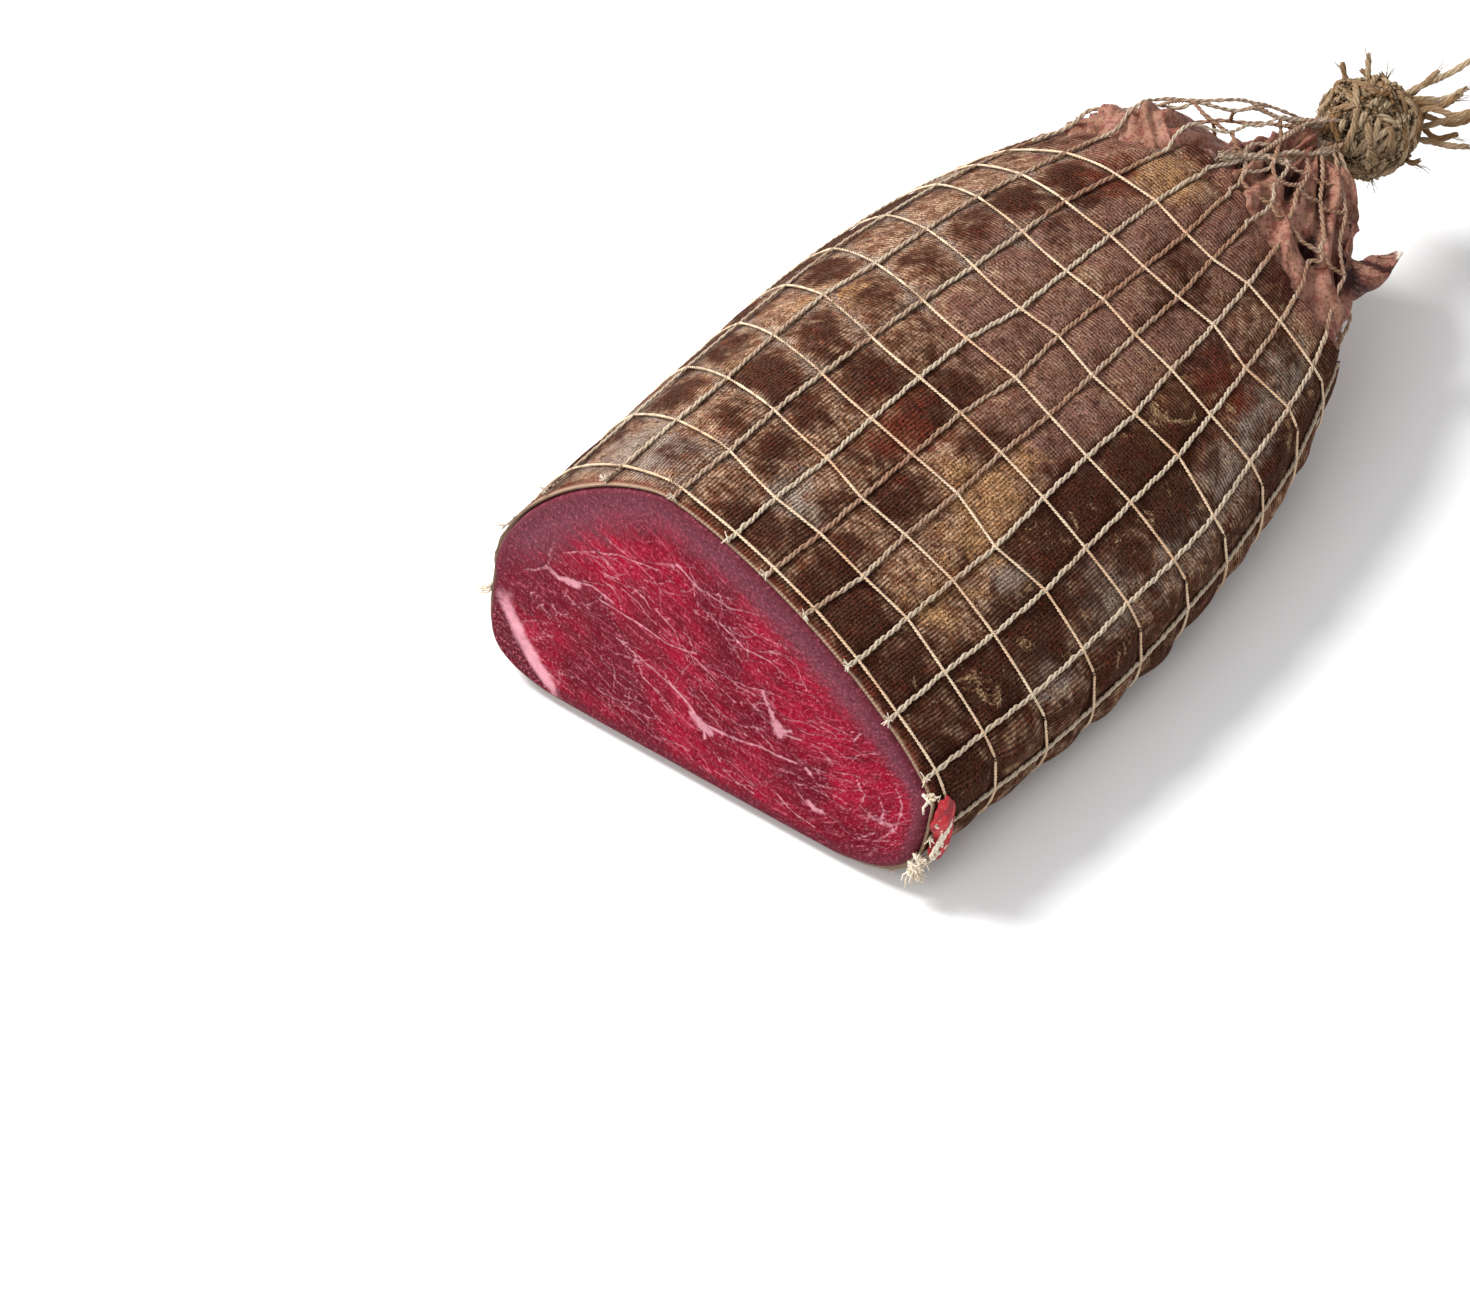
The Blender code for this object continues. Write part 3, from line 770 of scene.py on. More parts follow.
def skin_finish():
    """Dried natural skin: pink-beige on the folds, with dark red painted shade where they close and a painted
    highlight on the flap's lip.
    """
    skin = Finish("natural_skin", 0.55, 0.25)
    skin.feed(skin.shader.inputs["Subsurface Weight"], 0.08)
    skin.feed(skin.shader.inputs["Subsurface Scale"], 0.002)
    place = skin.position()
    broad = skin.noise(place, 90.0, 4.0)
    fine = skin.noise(place, 900.0, 3.0, 0.65)
    skin.colour = skin.mix(skin.ramp(broad, 0.35, 0.65), SKIN_PINK, SKIN_BEIGE)
    skin.layer(skin.noise(place, 240.0, 6.0, 0.75), 0.46, 0.60, SKIN_RED, 0.75)
    skin.layer(fine, 0.50, 0.66, SKIN_DARK, 0.6)
    # Painted shade where the folds close
    skin.layer(skin.times(fine, 0.5, skin.number("fold")), 0.45, 1.05, SKIN_DARK)
    # Painted highlight along the flap's curled lip
    skin.layer(skin.number("tip"), 0.3, 0.8, FLAP_HIGHLIGHT)
    normal = skin.bump(fine, 0.0004, 0.6)
    normal = skin.bump(skin.noise(place, 300.0, 5.0), 0.0012, 0.8, normal)
    return skin.paint(skin.ramp(broad, 0.3, 0.7, 0.42, 0.66), normal)


def thread_finish(name, pale, tan, dirt_and_shade, fuzz):
    """Spun thread in two tones that change along it, with painted shade where its strands meet, and fuzzy."""
    thread = Finish(name, 0.9, 0.08)
    place = thread.position()
    fine = thread.noise(place, 2600.0, 3.0, 0.7)
    own = thread.math("SUBTRACT", thread.number("tone"), 0.4)
    own = thread.times(thread.noise(place, 140.0, 4.0), 0.8, own)
    thread.colour = thread.mix(thread.ramp(own, 0.1, 0.9), pale, tan)
    thread.layer(fine, 0.3, 0.75, dirt_and_shade, fuzz)
    # Painted shade in the grooves where the strands meet
    thread.layer(thread.number("shade"), 0.6, 0.0, dirt_and_shade, 0.55)
    return thread.paint(None, thread.bump(fine, 0.0003, 0.7))


# The pieces

def stains(places, walk, along):
    """How strongly each point is stained by the places of one kind."""
    total = np.zeros(walk.shape)
    for spot_walk, spot_along, size in np.array(places) / 1000:
        round_gap = (walk - spot_walk + GIRTH / 2) % GIRTH - GIRTH / 2
        gap = np.sqrt(round_gap**2 + (along - spot_along) ** 2)
        spread = size * (1 - STAIN_SOFTNESS), size * (1 + STAIN_SOFTNESS)
        total = np.maximum(total, 1 - fade(*spread, gap))
    return total


def far_edge(walk):
    """Where the gauze ends round the body: it stops short on the right, where the skin shows."""
    knots = [-0.09, -0.02, 0.0, 0.024, 0.055, 0.085, 0.11, 0.128, 0.15, 0.22, GIRTH - 0.09]
    ends = [0.232, 0.224, 0.219, 0.219, 0.225, 0.236, 0.236, 0.224, 0.224, 0.232, 0.232]
    spot = (walk + 0.09) % GIRTH - 0.09
    return np.interp(spot, knots, ends) + 0.0012 * waves(5, spot * 420)


def make_sleeve():
    """The gauze: one sheet round the body, turned in at both ends, with the numbers that its finish reads."""
    cords = np.linspace(SEAM_CORD, SEAM_CORD + CORDS, CORDS * SLEEVE_COLUMNS + 1)
    first_row = (SLEEVE_START - FIRST_HOOP) / HOOP_PITCH
    rows = np.concatenate([[first_row], np.arange(-3, int(9.6 * SLEEVE_ROWS)) / SLEEVE_ROWS])
    last = rows[-1]
    cord, row = np.meshgrid(cords, np.concatenate([rows, last + np.linspace(0.06, 1.0, 22)]))
    end = (far_edge(net_place(cord, row)[0]) - FIRST_HOOP) / HOOP_PITCH
    squeezed = LAST_HOOP + (row - LAST_HOOP) * (end - LAST_HOOP) / (last + 1.0 - LAST_HOOP)
    row = np.where(row > LAST_HOOP, squeezed, row)
    walk, along = net_place(cord, row)
    wrinkle = 0.0003 * waves(9, walk * 900 + along * 350) * fade(0.2, 0.8, waves(10, walk * 60, along * 55))
    sheets = [sleeve_point(cord, row) + outward(walk, along) * wrinkle[..., None]]
    for sink, shift in ((0.0007, 0.0002), (0.0011, 0.003)):
        sheets.insert(0, sleeve_point(cord[:1], row[:1] + shift / HOOP_PITCH, -sink, False))
    for sink, shift in ((0.0007, 0.0002), (0.0012, 0.004)):
        sheets.append(sleeve_point(cord[-1:], row[-1:] - shift / HOOP_PITCH, -sink))
    grid = np.concatenate(sheets)
    grid[..., 2] = np.maximum(grid[..., 2], ON_FLOOR)

    def padded(numbers, at_front=0, at_back=0):
        """The numbers with two more rows for each turned-in end."""
        top = np.full_like(numbers[:1], at_front)
        bottom = np.full_like(numbers[:1], at_back)
        return np.concatenate([top, top, numbers, bottom, bottom])

    part = cord - np.floor(cord)
    rest = row - np.floor(row)
    centre = arch(part) * arch(rest)
    # Painted shade and dirt: the gauze is darker right beside each cord and each hoop
    by_cord = 1 - fade(0.0008, 0.0026, np.minimum(part, 1 - part) * CELL_WIDTH)
    by_hoop = 1 - fade(0.0003, 0.0016, np.minimum(rest, 1 - rest) * HOOP_PITCH)
    press = np.where(row < first_row + 0.001, 0.0, np.maximum(0.75 * by_cord, 0.55 * by_hoop))
    own = CELL_TONE[np.floor(cord).astype(int) % CORDS, np.clip(np.floor(row).astype(int), -1, HOOPS) + 1]
    drift = DRIFT * waves(51, walk * 130, along * 110) + FINE_DRIFT * waves(52, walk * 480, along * 420)
    drift_back = DRIFT * waves(53, walk * 120, along * 130) + FINE_DRIFT * waves(54, walk * 460, along * 500)
    values = {name: stains(places, walk + drift, along + drift_back) for name, places in STAINS.items()}

    # The hidden back is stained in patches
    hidden = band(0.14, 0.17, GIRTH - 0.05, GIRTH - 0.02, walk)
    patch = waves(21, walk * 95, along * 80)
    dark = np.maximum(values["dark"], hidden * fade(-0.1, 0.5, patch))
    mould = np.maximum(values["mould"], hidden * fade(0.1, 0.6, -patch))

    # On the crown's left pale mould follows the threads, and the openings are dark
    crown = band(0.095, 0.12, 0.2, 0.24, walk)
    dark = np.maximum(dark, 0.7 * band(0.148, 0.16, 0.18, 0.2, walk))
    crown_centre = 1.2 * fade(0.3, 0.95, centre) * crown * np.clip(0.55 + 0.5 * own, 0, 1)
    flank = band(-0.03, 0.01, 0.04, 0.055, walk)
    dark = dark * (0.65 + 0.35 * centre) + 0.6 * crown_centre + 0.5 * flank
    dark = dark + 0.45 * (1 - fade(0.0, 0.06, along)) * band(0.02, 0.05, 0.095, 0.115, walk)
    low_side = band(-0.055, -0.03, -0.004, 0.008, walk)
    mould = mould * (1 - 0.7 * low_side)
    dark = np.clip(dark + 0.4 * own * fade(0.0, 0.6, centre) - 0.55 * mould + 0.6 * low_side, 0, 1.3)
    mould = np.clip(np.maximum(mould, 0.8 * (1 - fade(0.1, 0.6, centre)) * crown), 0, 1)

    # Near the cut the gauze is soaked red under a pale hem, and near its far edge pink
    raw = 1 - fade(0.0025, 0.0065, along + 0.0012 * waves(55, walk * 500))
    hem = 1 - fade(0.0019, 0.0028, along + 0.0003 * waves(57, walk * 700))
    pink = np.maximum(values["pink"], 1.2 * (1 - fade(0.001, 0.010, far_edge(walk) - along)))
    values.update(dark=dark, mould=mould, pink=pink, hem=hem, press=press, flank=flank)
    values["raw"] = raw * fade(-0.01, 0.0, GIRTH / 2 - walk)
    at_ends = {"dark": (0, 1), "hem": (1, 0), "press": (0, 0.3)}
    values = {name: padded(numbers, *at_ends.get(name, ())) for name, numbers in values.items()}
    flat = np.stack([padded(walk), padded(along, 0, 0.24)], -1)
    sleeve = build("gauze_sleeve", grid, grid_faces(*grid.shape[:2]), gauze_finish(), values, {"cloth": flat})
    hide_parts("casing")


# Fat and connective tissue on the cut face, in millimetres: half its width, then places across and up
FAT_LINES = (
    (0.5, (-66, 39), (-62, 41), (-58, 44)),
    (0.9, (-58, 44), (-54, 42.5), (-50, 43.4)),
    (1.3, (-51, 43), (-47, 43.6)),
    (0.5, (-57, 54), (-58, 49), (-58, 44)),
    (0.3, (-48, 44), (-42, 46), (-34, 44.5)),
    (0.3, (-31, 34), (-22, 32), (-15, 30), (-11, 29)),
    (0.5, (-11, 29), (-4, 25.5), (1, 22)),
    (1.3, (-2, 23), (1, 21.5), (5, 20)),
    (1.7, (0.5, 21.8), (2.5, 20.6)),
    (0.5, (2, 21), (3.5, 17.5)),
    (0.4, (1, 22), (11, 22), (21, 24), (34, 25)),
    (0.8, (22.5, 37), (25, 34)),
    (1.9, (25.5, 33.6), (27, 31.8)),
    (0.6, (27, 32), (30, 34)),
    (0.5, (19, 42), (22.5, 37)),
    (0.35, (29, 32), (34, 33)),
    (0.4, (50, 41), (51.5, 44)),
    (0.5, (37, 25), (39, 24)),
    (0.7, (40, 15), (42, 13.5), (45, 14)),
    (0.4, (60, 7), (63, 9)),
    (0.25, (-54, 51), (-45, 56), (-35, 60), (-21, 62)),
    (0.25, (-16, 67), (-7, 63), (4, 62), (15, 65)),
    (0.25, (-39, 43), (-25, 42.5), (-14, 41), (-4, 43)),
    (0.25, (1, 56), (11, 52), (20, 52)),
    (0.35, (66, 33), (69, 29), (69, 22), (64, 14)),
    (0.3, (61, 28), (64, 24), (62, 18)),
    (0.3, (53, 30), (57, 26), (55, 20)),
    (0.3, (-24, 32), (-20, 26), (-14, 24)),
    (0.25, (30, 12), (36, 9), (44, 8)),
)
STREAK = ((-75.0, 32.0), (-70.3, 25.0), (-63.8, 17.6), (-56.2, 10.6), (-47.0, 3.6))
STREAK_WIDTH = 0.0020
FINE_VEINS = 250
GRAIN_SLOPE = -0.2
FAN_START = 0.02
FAN = 8.0


def to_segments(points, segments):
    """Distance of flat points to the nearest segment, measured in that segment's half widths."""
    best = np.full(len(points), 99.0, np.float32)
    for start, end, width in segments:
        run = end - start
        part = np.clip(((points - start) @ run) / max(run @ run, 1e-12), 0, 1)[:, None]
        best = np.minimum(best, np.linalg.norm(points - start - part * run, axis=1) / width)
    return best


def fibre_segments():
    """Short wavy threads of tissue that follow the grain, scattered over the face."""
    draw = random.Random(5)
    segments = []
    for index in range(FINE_VEINS):
        spot = np.array([draw.uniform(-0.066, 0.07), draw.uniform(0.008, 0.068)])
        heading = GRAIN_SLOPE + 2 * FAN * max(spot[0] - FAN_START, 0) + draw.gauss(0, 0.24)
        width = draw.uniform(0.00016, 0.0003)
        for step in range(draw.randint(3, 8)):
            heading += draw.gauss(0, 0.22)
            reach = draw.uniform(0.0012, 0.0028)
            after = spot + reach * np.array([math.cos(heading), math.sin(heading)])
            segments.append((spot, after, width))
            if draw.random() < 0.14:
                branch = heading + draw.choice((-1, 1)) * draw.uniform(0.6, 1.2)
                twig = spot + 1.4 * reach * np.array([math.cos(branch), math.sin(branch)])
                segments.append((spot, twig, width * 0.8))
            spot = after
    return segments


def make_meat():
    """The muscle: its cut face in fine steps, the rounded rim, and the sides under the gauze."""
    walks = np.linspace(0, GIRTH, MEAT_COLUMNS + 1)[:-1]

    def ring(back, sink):
        along = np.full_like(walks, back)
        return surface(walks, along) - outward(walks, along) * sink

    def closed(table):
        """The table with its first column again at its end."""
        return np.concatenate([table, table[:, :1]], axis=1)

    wall = [ring(back, MEAT_INSIDE + further) for back, further in MEAT_RIM]
    rim = ring(0.0, MEAT_INSIDE + 0.0014)
    middle = vec(-CROWN_TO_LEFT / 4, 0.0, CUT_HEIGHT / 2 + LIFT) + SHIFT
    middle[1] = rim[:, 1].mean()
    shares = 1 - (np.arange(MEAT_RINGS + 1) / MEAT_RINGS) ** 1.15
    rings = middle + (rim - middle) * np.maximum(shares, 0.004)[:, None, None]
    grid = np.concatenate([np.stack(wall), rings])
    flat = grid[..., [0, 2]] - vec(SHIFT[0], LIFT)
    walls = len(wall)
    face = flat[walls:]
    shape = face.shape[:2]
    spots = face.reshape(-1, 2)

    # The dried rim: wider on top and at the left
    angle = np.arctan2(face[..., 1] - 0.035, face[..., 0] + 0.005)
    top = fade(-0.15, 0.35, angle)
    width = 0.004 + 0.0065 * top + 0.007 * fade(1.9, 2.7, angle) * top
    rim_share = np.clip(1.15 - nearest(spots, face[0]).reshape(shape) / width, 0, 1)
    under = np.clip(1 - fade(-0.5, 0.1, angle) + fade(2.9, 3.1, angle), 0, 1)

    # The pale streak, and the dark strip outside it
    line = np.array(STREAK) / 1000
    run = line[-1] - line[0]
    side = ((spots - line[0]) @ vec(run[1], -run[0]) / np.linalg.norm(run)).reshape(shape)
    within = ((spots - line[0]) @ run / (run @ run)).reshape(shape)
    away = to_segments(spots, [(a, b, STREAK_WIDTH) for a, b in zip(line, line[1:])]).reshape(shape)
    streak = np.clip(1.6 - away * (0.45 + 0.55 * fade(-0.004, 0.0, side)), 0, 1)
    streak = streak * (0.35 + 0.65 * fade(-0.003, 0.0, side)) * band(-0.02, 0.3, 0.85, 1.05, within)
    outer = fade(-0.0005, 0.0015, side) * band(-0.12, 0.05, 0.95, 1.12, within)

    segments = []
    for half_width, *line in FAT_LINES:
        line = np.array(line) / 1000
        segments += [(a, b, half_width / 1000) for a, b in zip(line, line[1:])]
    fat = np.clip(1.5 - to_segments(spots, segments), 0, 1)
    fine = np.clip(1.5 - to_segments(spots, fibre_segments()), 0, 1) * 0.7
    fat = np.maximum(fat, fine).reshape(shape) * (1 - 0.75 * rim_share)

    # Where the muscle's grain runs: a slant that fans out to the right
    bend = 0.003 * np.sin(face[..., 0] * 38 + 1.0) - FAN * np.clip(face[..., 0] - FAN_START, 0, 1) ** 2
    grain = flat.copy()
    grain[walls:, :, 1] = face[..., 1] - GRAIN_SLOPE * face[..., 0] + bend

    base = 1 - fade(0.0015, 0.011, face[..., 1])
    values = {"base": base, "rim": rim_share, "fat": fat, "streak": streak, "under": under, "outer": outer}
    at_wall = {"rim": 1.0, "under": 0.5}
    for name, numbers in values.items():
        on_wall = np.full((walls, len(walks)), at_wall.get(name, 0.0))
        values[name] = closed(np.concatenate([on_wall, numbers]))
    grid = closed(grid)
    ripple = 0.00022 * waves(31, grid[..., 0] * 420, grid[..., 2] * 1500) - 0.0003 * values["fat"]
    grid[walls + 2:, :, 1] -= ripple[walls + 2:]
    rows, count = grid.shape[:2]
    faces = [quad[::-1] for quad in grid_faces(rows, count)]
    end = list(range((rows - 1) * count, rows * count - 1))
    meat = build("cut_meat", grid, faces + [end[::-1]], beef_finish(), values, {"grain": closed(grain)})
    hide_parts("meat")


def walk_behind(cord):
    """Distance round the body at a cord number, past the last hoop."""
    cord = np.asarray(cord, float)
    return net_place(cord, np.full(cord.shape, LAST_HOOP + 1.0))[0]


def neck_spoke(cord):
    """Direction from the neck's axis towards a cord."""
    start = surface(walk_behind(cord), 0.239) - SHIFT - vec(0.0, 0.239, END_HEIGHT + LIFT)
    return unit(start - (start @ NECK_AXIS)[..., None] * NECK_AXIS)


def skin_point(cord, reach, out=0.0):
    """Points of the skin's end: reach 0 under the gauze's edge, 1 where it is gathered into the neck."""
    cord, reach = np.broadcast_arrays(np.asarray(cord, float), np.asarray(reach, float))
    out = np.asarray(out)
    along = SKIN_START + (SKIN_TURN - SKIN_START) * reach**0.8
    walk = walk_behind(cord)
    body = surface(walk, along) - outward(walk, along) * (0.0016 - out)[..., None]
    neck = NECK - NECK_AXIS * 0.006 + vec(0.0, 0.0, -0.003) + neck_spoke(cord) * (0.0045 + out[..., None])
    share = fade(0.42, 1.08, reach)[..., None] ** 1.1
    point = body * (1 - share) + neck * share
    dip = hump(cord, 0.0, DIP) * fade(0.45, 0.72, reach) * (1 - 0.65 * fade(0.82, 1.0, reach))
    point = point + vec(0.0, 0.0, 1.0) * (PEAK_RISE * hump(cord, reach, PEAK) - DIP_DEPTH * dip)[..., None]
    return point + vec(0.74, 0.64, -0.2) * (OVERHANG_OUT * hump(cord, reach, OVERHANG))[..., None]


def make_skin():
    """The natural skin past the gauze, crumpled as it gathers into the neck; gives back its finish."""
    cords = np.linspace(SEAM_CORD, SEAM_CORD + CORDS, SKIN_COLUMNS + 1)
    cord, reach = np.meshgrid(cords, np.linspace(0, 1, SKIN_ROWS + 1))
    plain = skin_point(cord, reach)
    x, y, z = np.moveaxis(plain, -1, 0)
    turn = cord * 2 * math.pi / CORDS
    fan = np.sin(turn * 17 + 1.3 * np.sin(turn * 3) + 2.2 * np.sin(reach * 5 + turn * 2))
    fan = fan + 0.5 * np.sin(turn * 31 + 3 * np.sin(turn * 2 + 1) - reach * 6)
    grow = fade(0.1, 0.55, reach) * (1 - 0.35 * fade(0.8, 1.0, reach))
    crumple = waves(41, x * 300, y * 260, z * 280)
    folds = 1 - np.abs(waves(45, x * 420, y * 380, z * 400)) * 2
    hole = hump(cord, reach, CAVITY)
    crease = hump(cord, reach, CREASE)
    lift = SKIN_PLEAT * grow * (fan - 0.4) + SKIN_PLEAT * (crumple + folds) * fade(0.05, 0.3, reach)
    lift = lift + 0.0003 * waves(43, x * 900, y * 850, z * 920) - 0.007 * hole - 0.003 * crease
    normal = unit(np.cross(np.gradient(plain, axis=0), np.gradient(plain, axis=1)))
    grid = plain + normal * lift[..., None]
    grid[..., 2] = np.maximum(grid[..., 2], ON_FLOOR)
    # Painted shade where the skin's folds close, in its cavity, in the crease under the bundle, and towards
    # the neck
    fold = np.clip(-0.35 * fan * grow - 0.35 * crumple - 0.45 * folds, 0, 1) + hole * 1.4 + crease * 1.1
    fold = np.clip(fold + 0.4 * fade(0.86, 1.0, reach), 0, 1.4)
    grid = np.concatenate([grid, np.broadcast_to(NECK, grid[-1:].shape)])
    fold = np.concatenate([fold, fold[-1:]])
    finish = skin_finish()
    skin = build("gathered_skin", grid, grid_faces(*grid.shape[:2]), finish, {"fold": fold, "tip": fold * 0})
    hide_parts("skin")
    return finish


def sheet(name, grid, thickness, finish, values=None):
    """A thin closed sheet round the given grid, thinner towards its edges."""
    normal = unit(np.cross(np.gradient(grid, axis=1), np.gradient(grid, axis=0)))
    rows, columns = (np.sin(math.pi * np.linspace(0.03, 0.97, count)) for count in grid.shape[:2])
    half = normal * (thickness / 2 * (rows[:, None] * columns) ** 0.3)[..., None]

    def both(front, back):
        return np.concatenate([front, back[:, ::-1], front[:, :1]], axis=1)

    shell = both(grid + half, grid - half)
    values = {field: both(numbers, numbers) for field, numbers in (values or {}).items()}
    return build(name, shell, grid_faces(*shell.shape[:2]), finish, values)


def make_flap(finish):
    """The loose piece of skin that curls out at the right, with a pale painted highlight along its lip."""
    root = skin_point(vec(FLAP_CORD), vec(FLAP_REACH))[0]
    out = vec(0.757, 0.653, 0.0)
    rise = vec(-0.471, 0.547, 0.692)
    front = np.cross(out, rise)
    across, reach = np.meshgrid(np.linspace(-1, 1, 41), np.linspace(0, 1, 57))
    half = FLAP_WIDTH * (1.05 - 0.15 * reach - 0.75 * reach**4) * (1 + 0.16 * np.sin(reach * 11 + across))
    along = FLAP_LENGTH * reach * (1 - 0.1 * across**2) - 0.0015
    up = 0.0075 * reach**2.6 - 0.0022 * np.sin(reach * 2.6) + across * half
    crumple = 0.0012 * waves(47, across * 4, reach * 13) + 0.0006 * waves(48, across * 11, reach * 25)
    curl = 0.003 * np.sin(across * 2.2 + reach * 3.6) + 0.0014 * np.sin(reach * 13 + across * 3)
    curl = curl - 0.0036 * across**2
    forward = curl * (0.4 + 0.6 * reach) + crumple
    grid = root + out * along[..., None] + rise * up[..., None] + front * forward[..., None]
    # Painted shade near the flap's root and in its crumpled hollows, over a flat darkening of the whole flap
    fold = 0.42 + 0.6 * np.clip(0.45 - reach, 0, 1) + np.clip(-crumple / 0.0012, 0, 1) * 0.5
    # Painted highlight on the flap's curled tip and along one edge of its lip
    tip = fade(0.88, 1.0, reach) + 0.6 * fade(0.9, 1.0, across) * fade(0.45, 0.8, reach)
    sheet("curled_flap", grid, 0.0010, finish, {"fold": fold, "tip": tip})


def on_sleeve(cord, row, out):
    """A thread's route over the gauze and the direction that faces out of it."""
    path = sleeve_point(cord, row, out, False)
    walk, along = net_place(*np.broadcast_arrays(np.asarray(cord, float), np.asarray(row, float)))
    path[:, 2] = np.maximum(path[:, 2], ON_FLOOR + out)
    return path, outward(walk, along)


def bundle_point(part):
    """The middle of the twist of cords that lies along the top of the skin, from its left end to the knot."""
    cord, reach = BUNDLE_START
    start = skin_point(vec(cord), vec(reach), 0.0025)[0]
    end = NECK + vec(0.0069, 0.0012, -0.0030)
    part = np.asarray(part, float)[..., None]
    return start * (1 - part) + end * part + vec(0.0012, -0.0022, -0.0012) * np.sin(math.pi * part)


def shaken(draw, amount, places):
    """A small random shift for each of the places."""
    return np.array([[draw.gauss(0, amount) for _ in range(3)] for _ in places])


def gathered(cord, draw):
    """A cord's route from the gauze's edge over the skin, with slack waves, into the neck."""
    first = (FIRST_HOOP + HOOP_PITCH * 9.5 - SKIN_START) / (SKIN_TURN - SKIN_START)
    reaches = np.linspace(first, 1.0, 17)
    lean = 0.32 * waves(200 + cord, reaches * 11) * band(first, 0.5, 0.75, 1.0, reaches)
    along = SKIN_START + (SKIN_TURN - SKIN_START) * reaches**0.8
    on_gauze = 1 - fade(0.0, 0.004, along - far_edge(cord_walk(cord)))
    over = skin_point(cord + lean, reaches, 0.0014 + 0.0012 * on_gauze)
    over = over + shaken(draw, 0.00045, reaches)
    end = NECK + neck_spoke(vec(cord))[0] * 0.0042
    if cord in OPEN_CORDS:
        held = skin_point(cord + lean, np.minimum(reaches, OPEN_FROM), 0.0022)
        part = np.clip((reaches - OPEN_FROM) / (1 - OPEN_FROM), 0, 1)[:, None]
        rise = np.sin(math.pi * part**1.3) * vec(0.0, 0.0, OPEN_CORDS[cord])
        over = held * (1 - part) + end * part + rise + shaken(draw, 0.0006, reaches) * (part * (1 - part) * 4)
    if cord in HANGING_CORDS:
        end = bundle_point(HANGING_CORDS[cord])
        pull = fade(0.55, 0.95, reaches)[:, None]
        over = (over * (1 - pull) + end * pull)[:-1]
        return np.concatenate([over, [end, end + vec(0.0006, 0.002, 0.001)]])
    return np.concatenate([over, [end, end + NECK_AXIS * 0.007, end + NECK_AXIS * 0.013]])


def make_net():
    """Lengthwise twisted cords, hoops of finer thread, and the funnel where they gather."""
    draw = random.Random(17)
    finish = thread_finish("string", CORD_PALE, CORD_TAN, THREAD_DIRT_AND_SHADE, 0.6)
    fine_finish = thread_finish("fine_string", HOOP_PALE, HOOP_TAN, HOOP_DIRT_AND_SHADE, 0.4)
    cords = Strands()
    funnel = Strands()
    routes = []
    for cord in range(CORDS):
        last = (float(far_edge(cord_walk(cord))) - FIRST_HOOP) / HOOP_PITCH
        rows = np.arange(-0.21, min(9.9, last), CORD_STEP / HOOP_PITCH)
        path, up = on_sleeve(cord, rows, CORD_OUT)
        wobble = 0.00025 * waves(60 + cord, measure(path) * 700)
        path = path + np.cross(unit(np.gradient(path, axis=0)), up) * wobble[:, None]
        tint = CORD_TINT[cord % len(CORD_TINT)] + 0.25 * waves(90 + cord, measure(path) * 60)
        tint = tint + 0.4 * fade(6.0, 9.7, rows)
        ply = CORD_PLY * (THIN_CORD if cord in THIN_CORDS else 1.0)
        cords.plied(path, up, ply, CORD_PITCH * draw.uniform(0.9, 1.15), tint, phase=draw.uniform(0, 6))
        points = np.concatenate([path[-12:-1:4], gathered(cord, draw)[1:]])
        twist = CORD_PLY * draw.uniform(0.85, 1.0), CORD_PITCH * 1.1, draw.uniform(0.2, 0.8)
        routes.append(funnel.loose(points, THREAD_SPACING, *twist, phase=draw.uniform(0, 6)))
    net = cords.piece("net_cords", finish)
    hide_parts("net")

    # The solid's last hoop lies past the gauze, where the funnel's links take its place
    hoops = Strands()
    for hoop in range(HOOPS - 1):
        spots = np.linspace(SEAM_CORD - 0.02, SEAM_CORD + CORDS + 0.02, HOOP_POINTS)
        walk = net_place(spots, np.full(spots.shape, float(hoop)))[0]
        on_left = band(0.11, 0.15, 0.22, 0.25, walk)
        path, up = on_sleeve(spots, float(hoop), HOOP_OUT - 0.0004 * on_left)
        tint = 0.35 + 0.4 * waves(120 + hoop, spots * 1.7) - 0.3 * on_left
        hoops.plied(path, up, HOOP_PLY, HOOP_TWIST, tint, sides=5, phase=draw.uniform(0, 6))
    hoops.piece("net_hoops", fine_finish)

    for share, loose in LINKS:
        for cord in range(CORDS):
            pair = routes[cord], routes[(cord + 1) % CORDS]
            start, end = (route[int(share * (len(route) - 1) * draw.uniform(0.94, 1.06))] for route in pair)
            out = unit((start + end) / 2 - (NECK - NECK_AXIS * 0.05))
            low = (start + end) / 2 + out * 0.0012 - NECK_AXIS * loose * draw.uniform(0.3, 1.3)
            twist = HOOP_PLY * 1.7, HOOP_TWIST * 1.6, draw.uniform(0.5, 1.0)
            funnel.loose(sagging(start, low, end), 0.0007, *twist, sides=5)
    make_bundle(funnel, draw)
    funnel.piece("net_gather", finish)


def sagging(start, low, end):
    """The route of a slack thread between two ends, through its lowest place."""
    return [start, start * 0.4 + low * 0.6, low, end * 0.4 + low * 0.6, end]


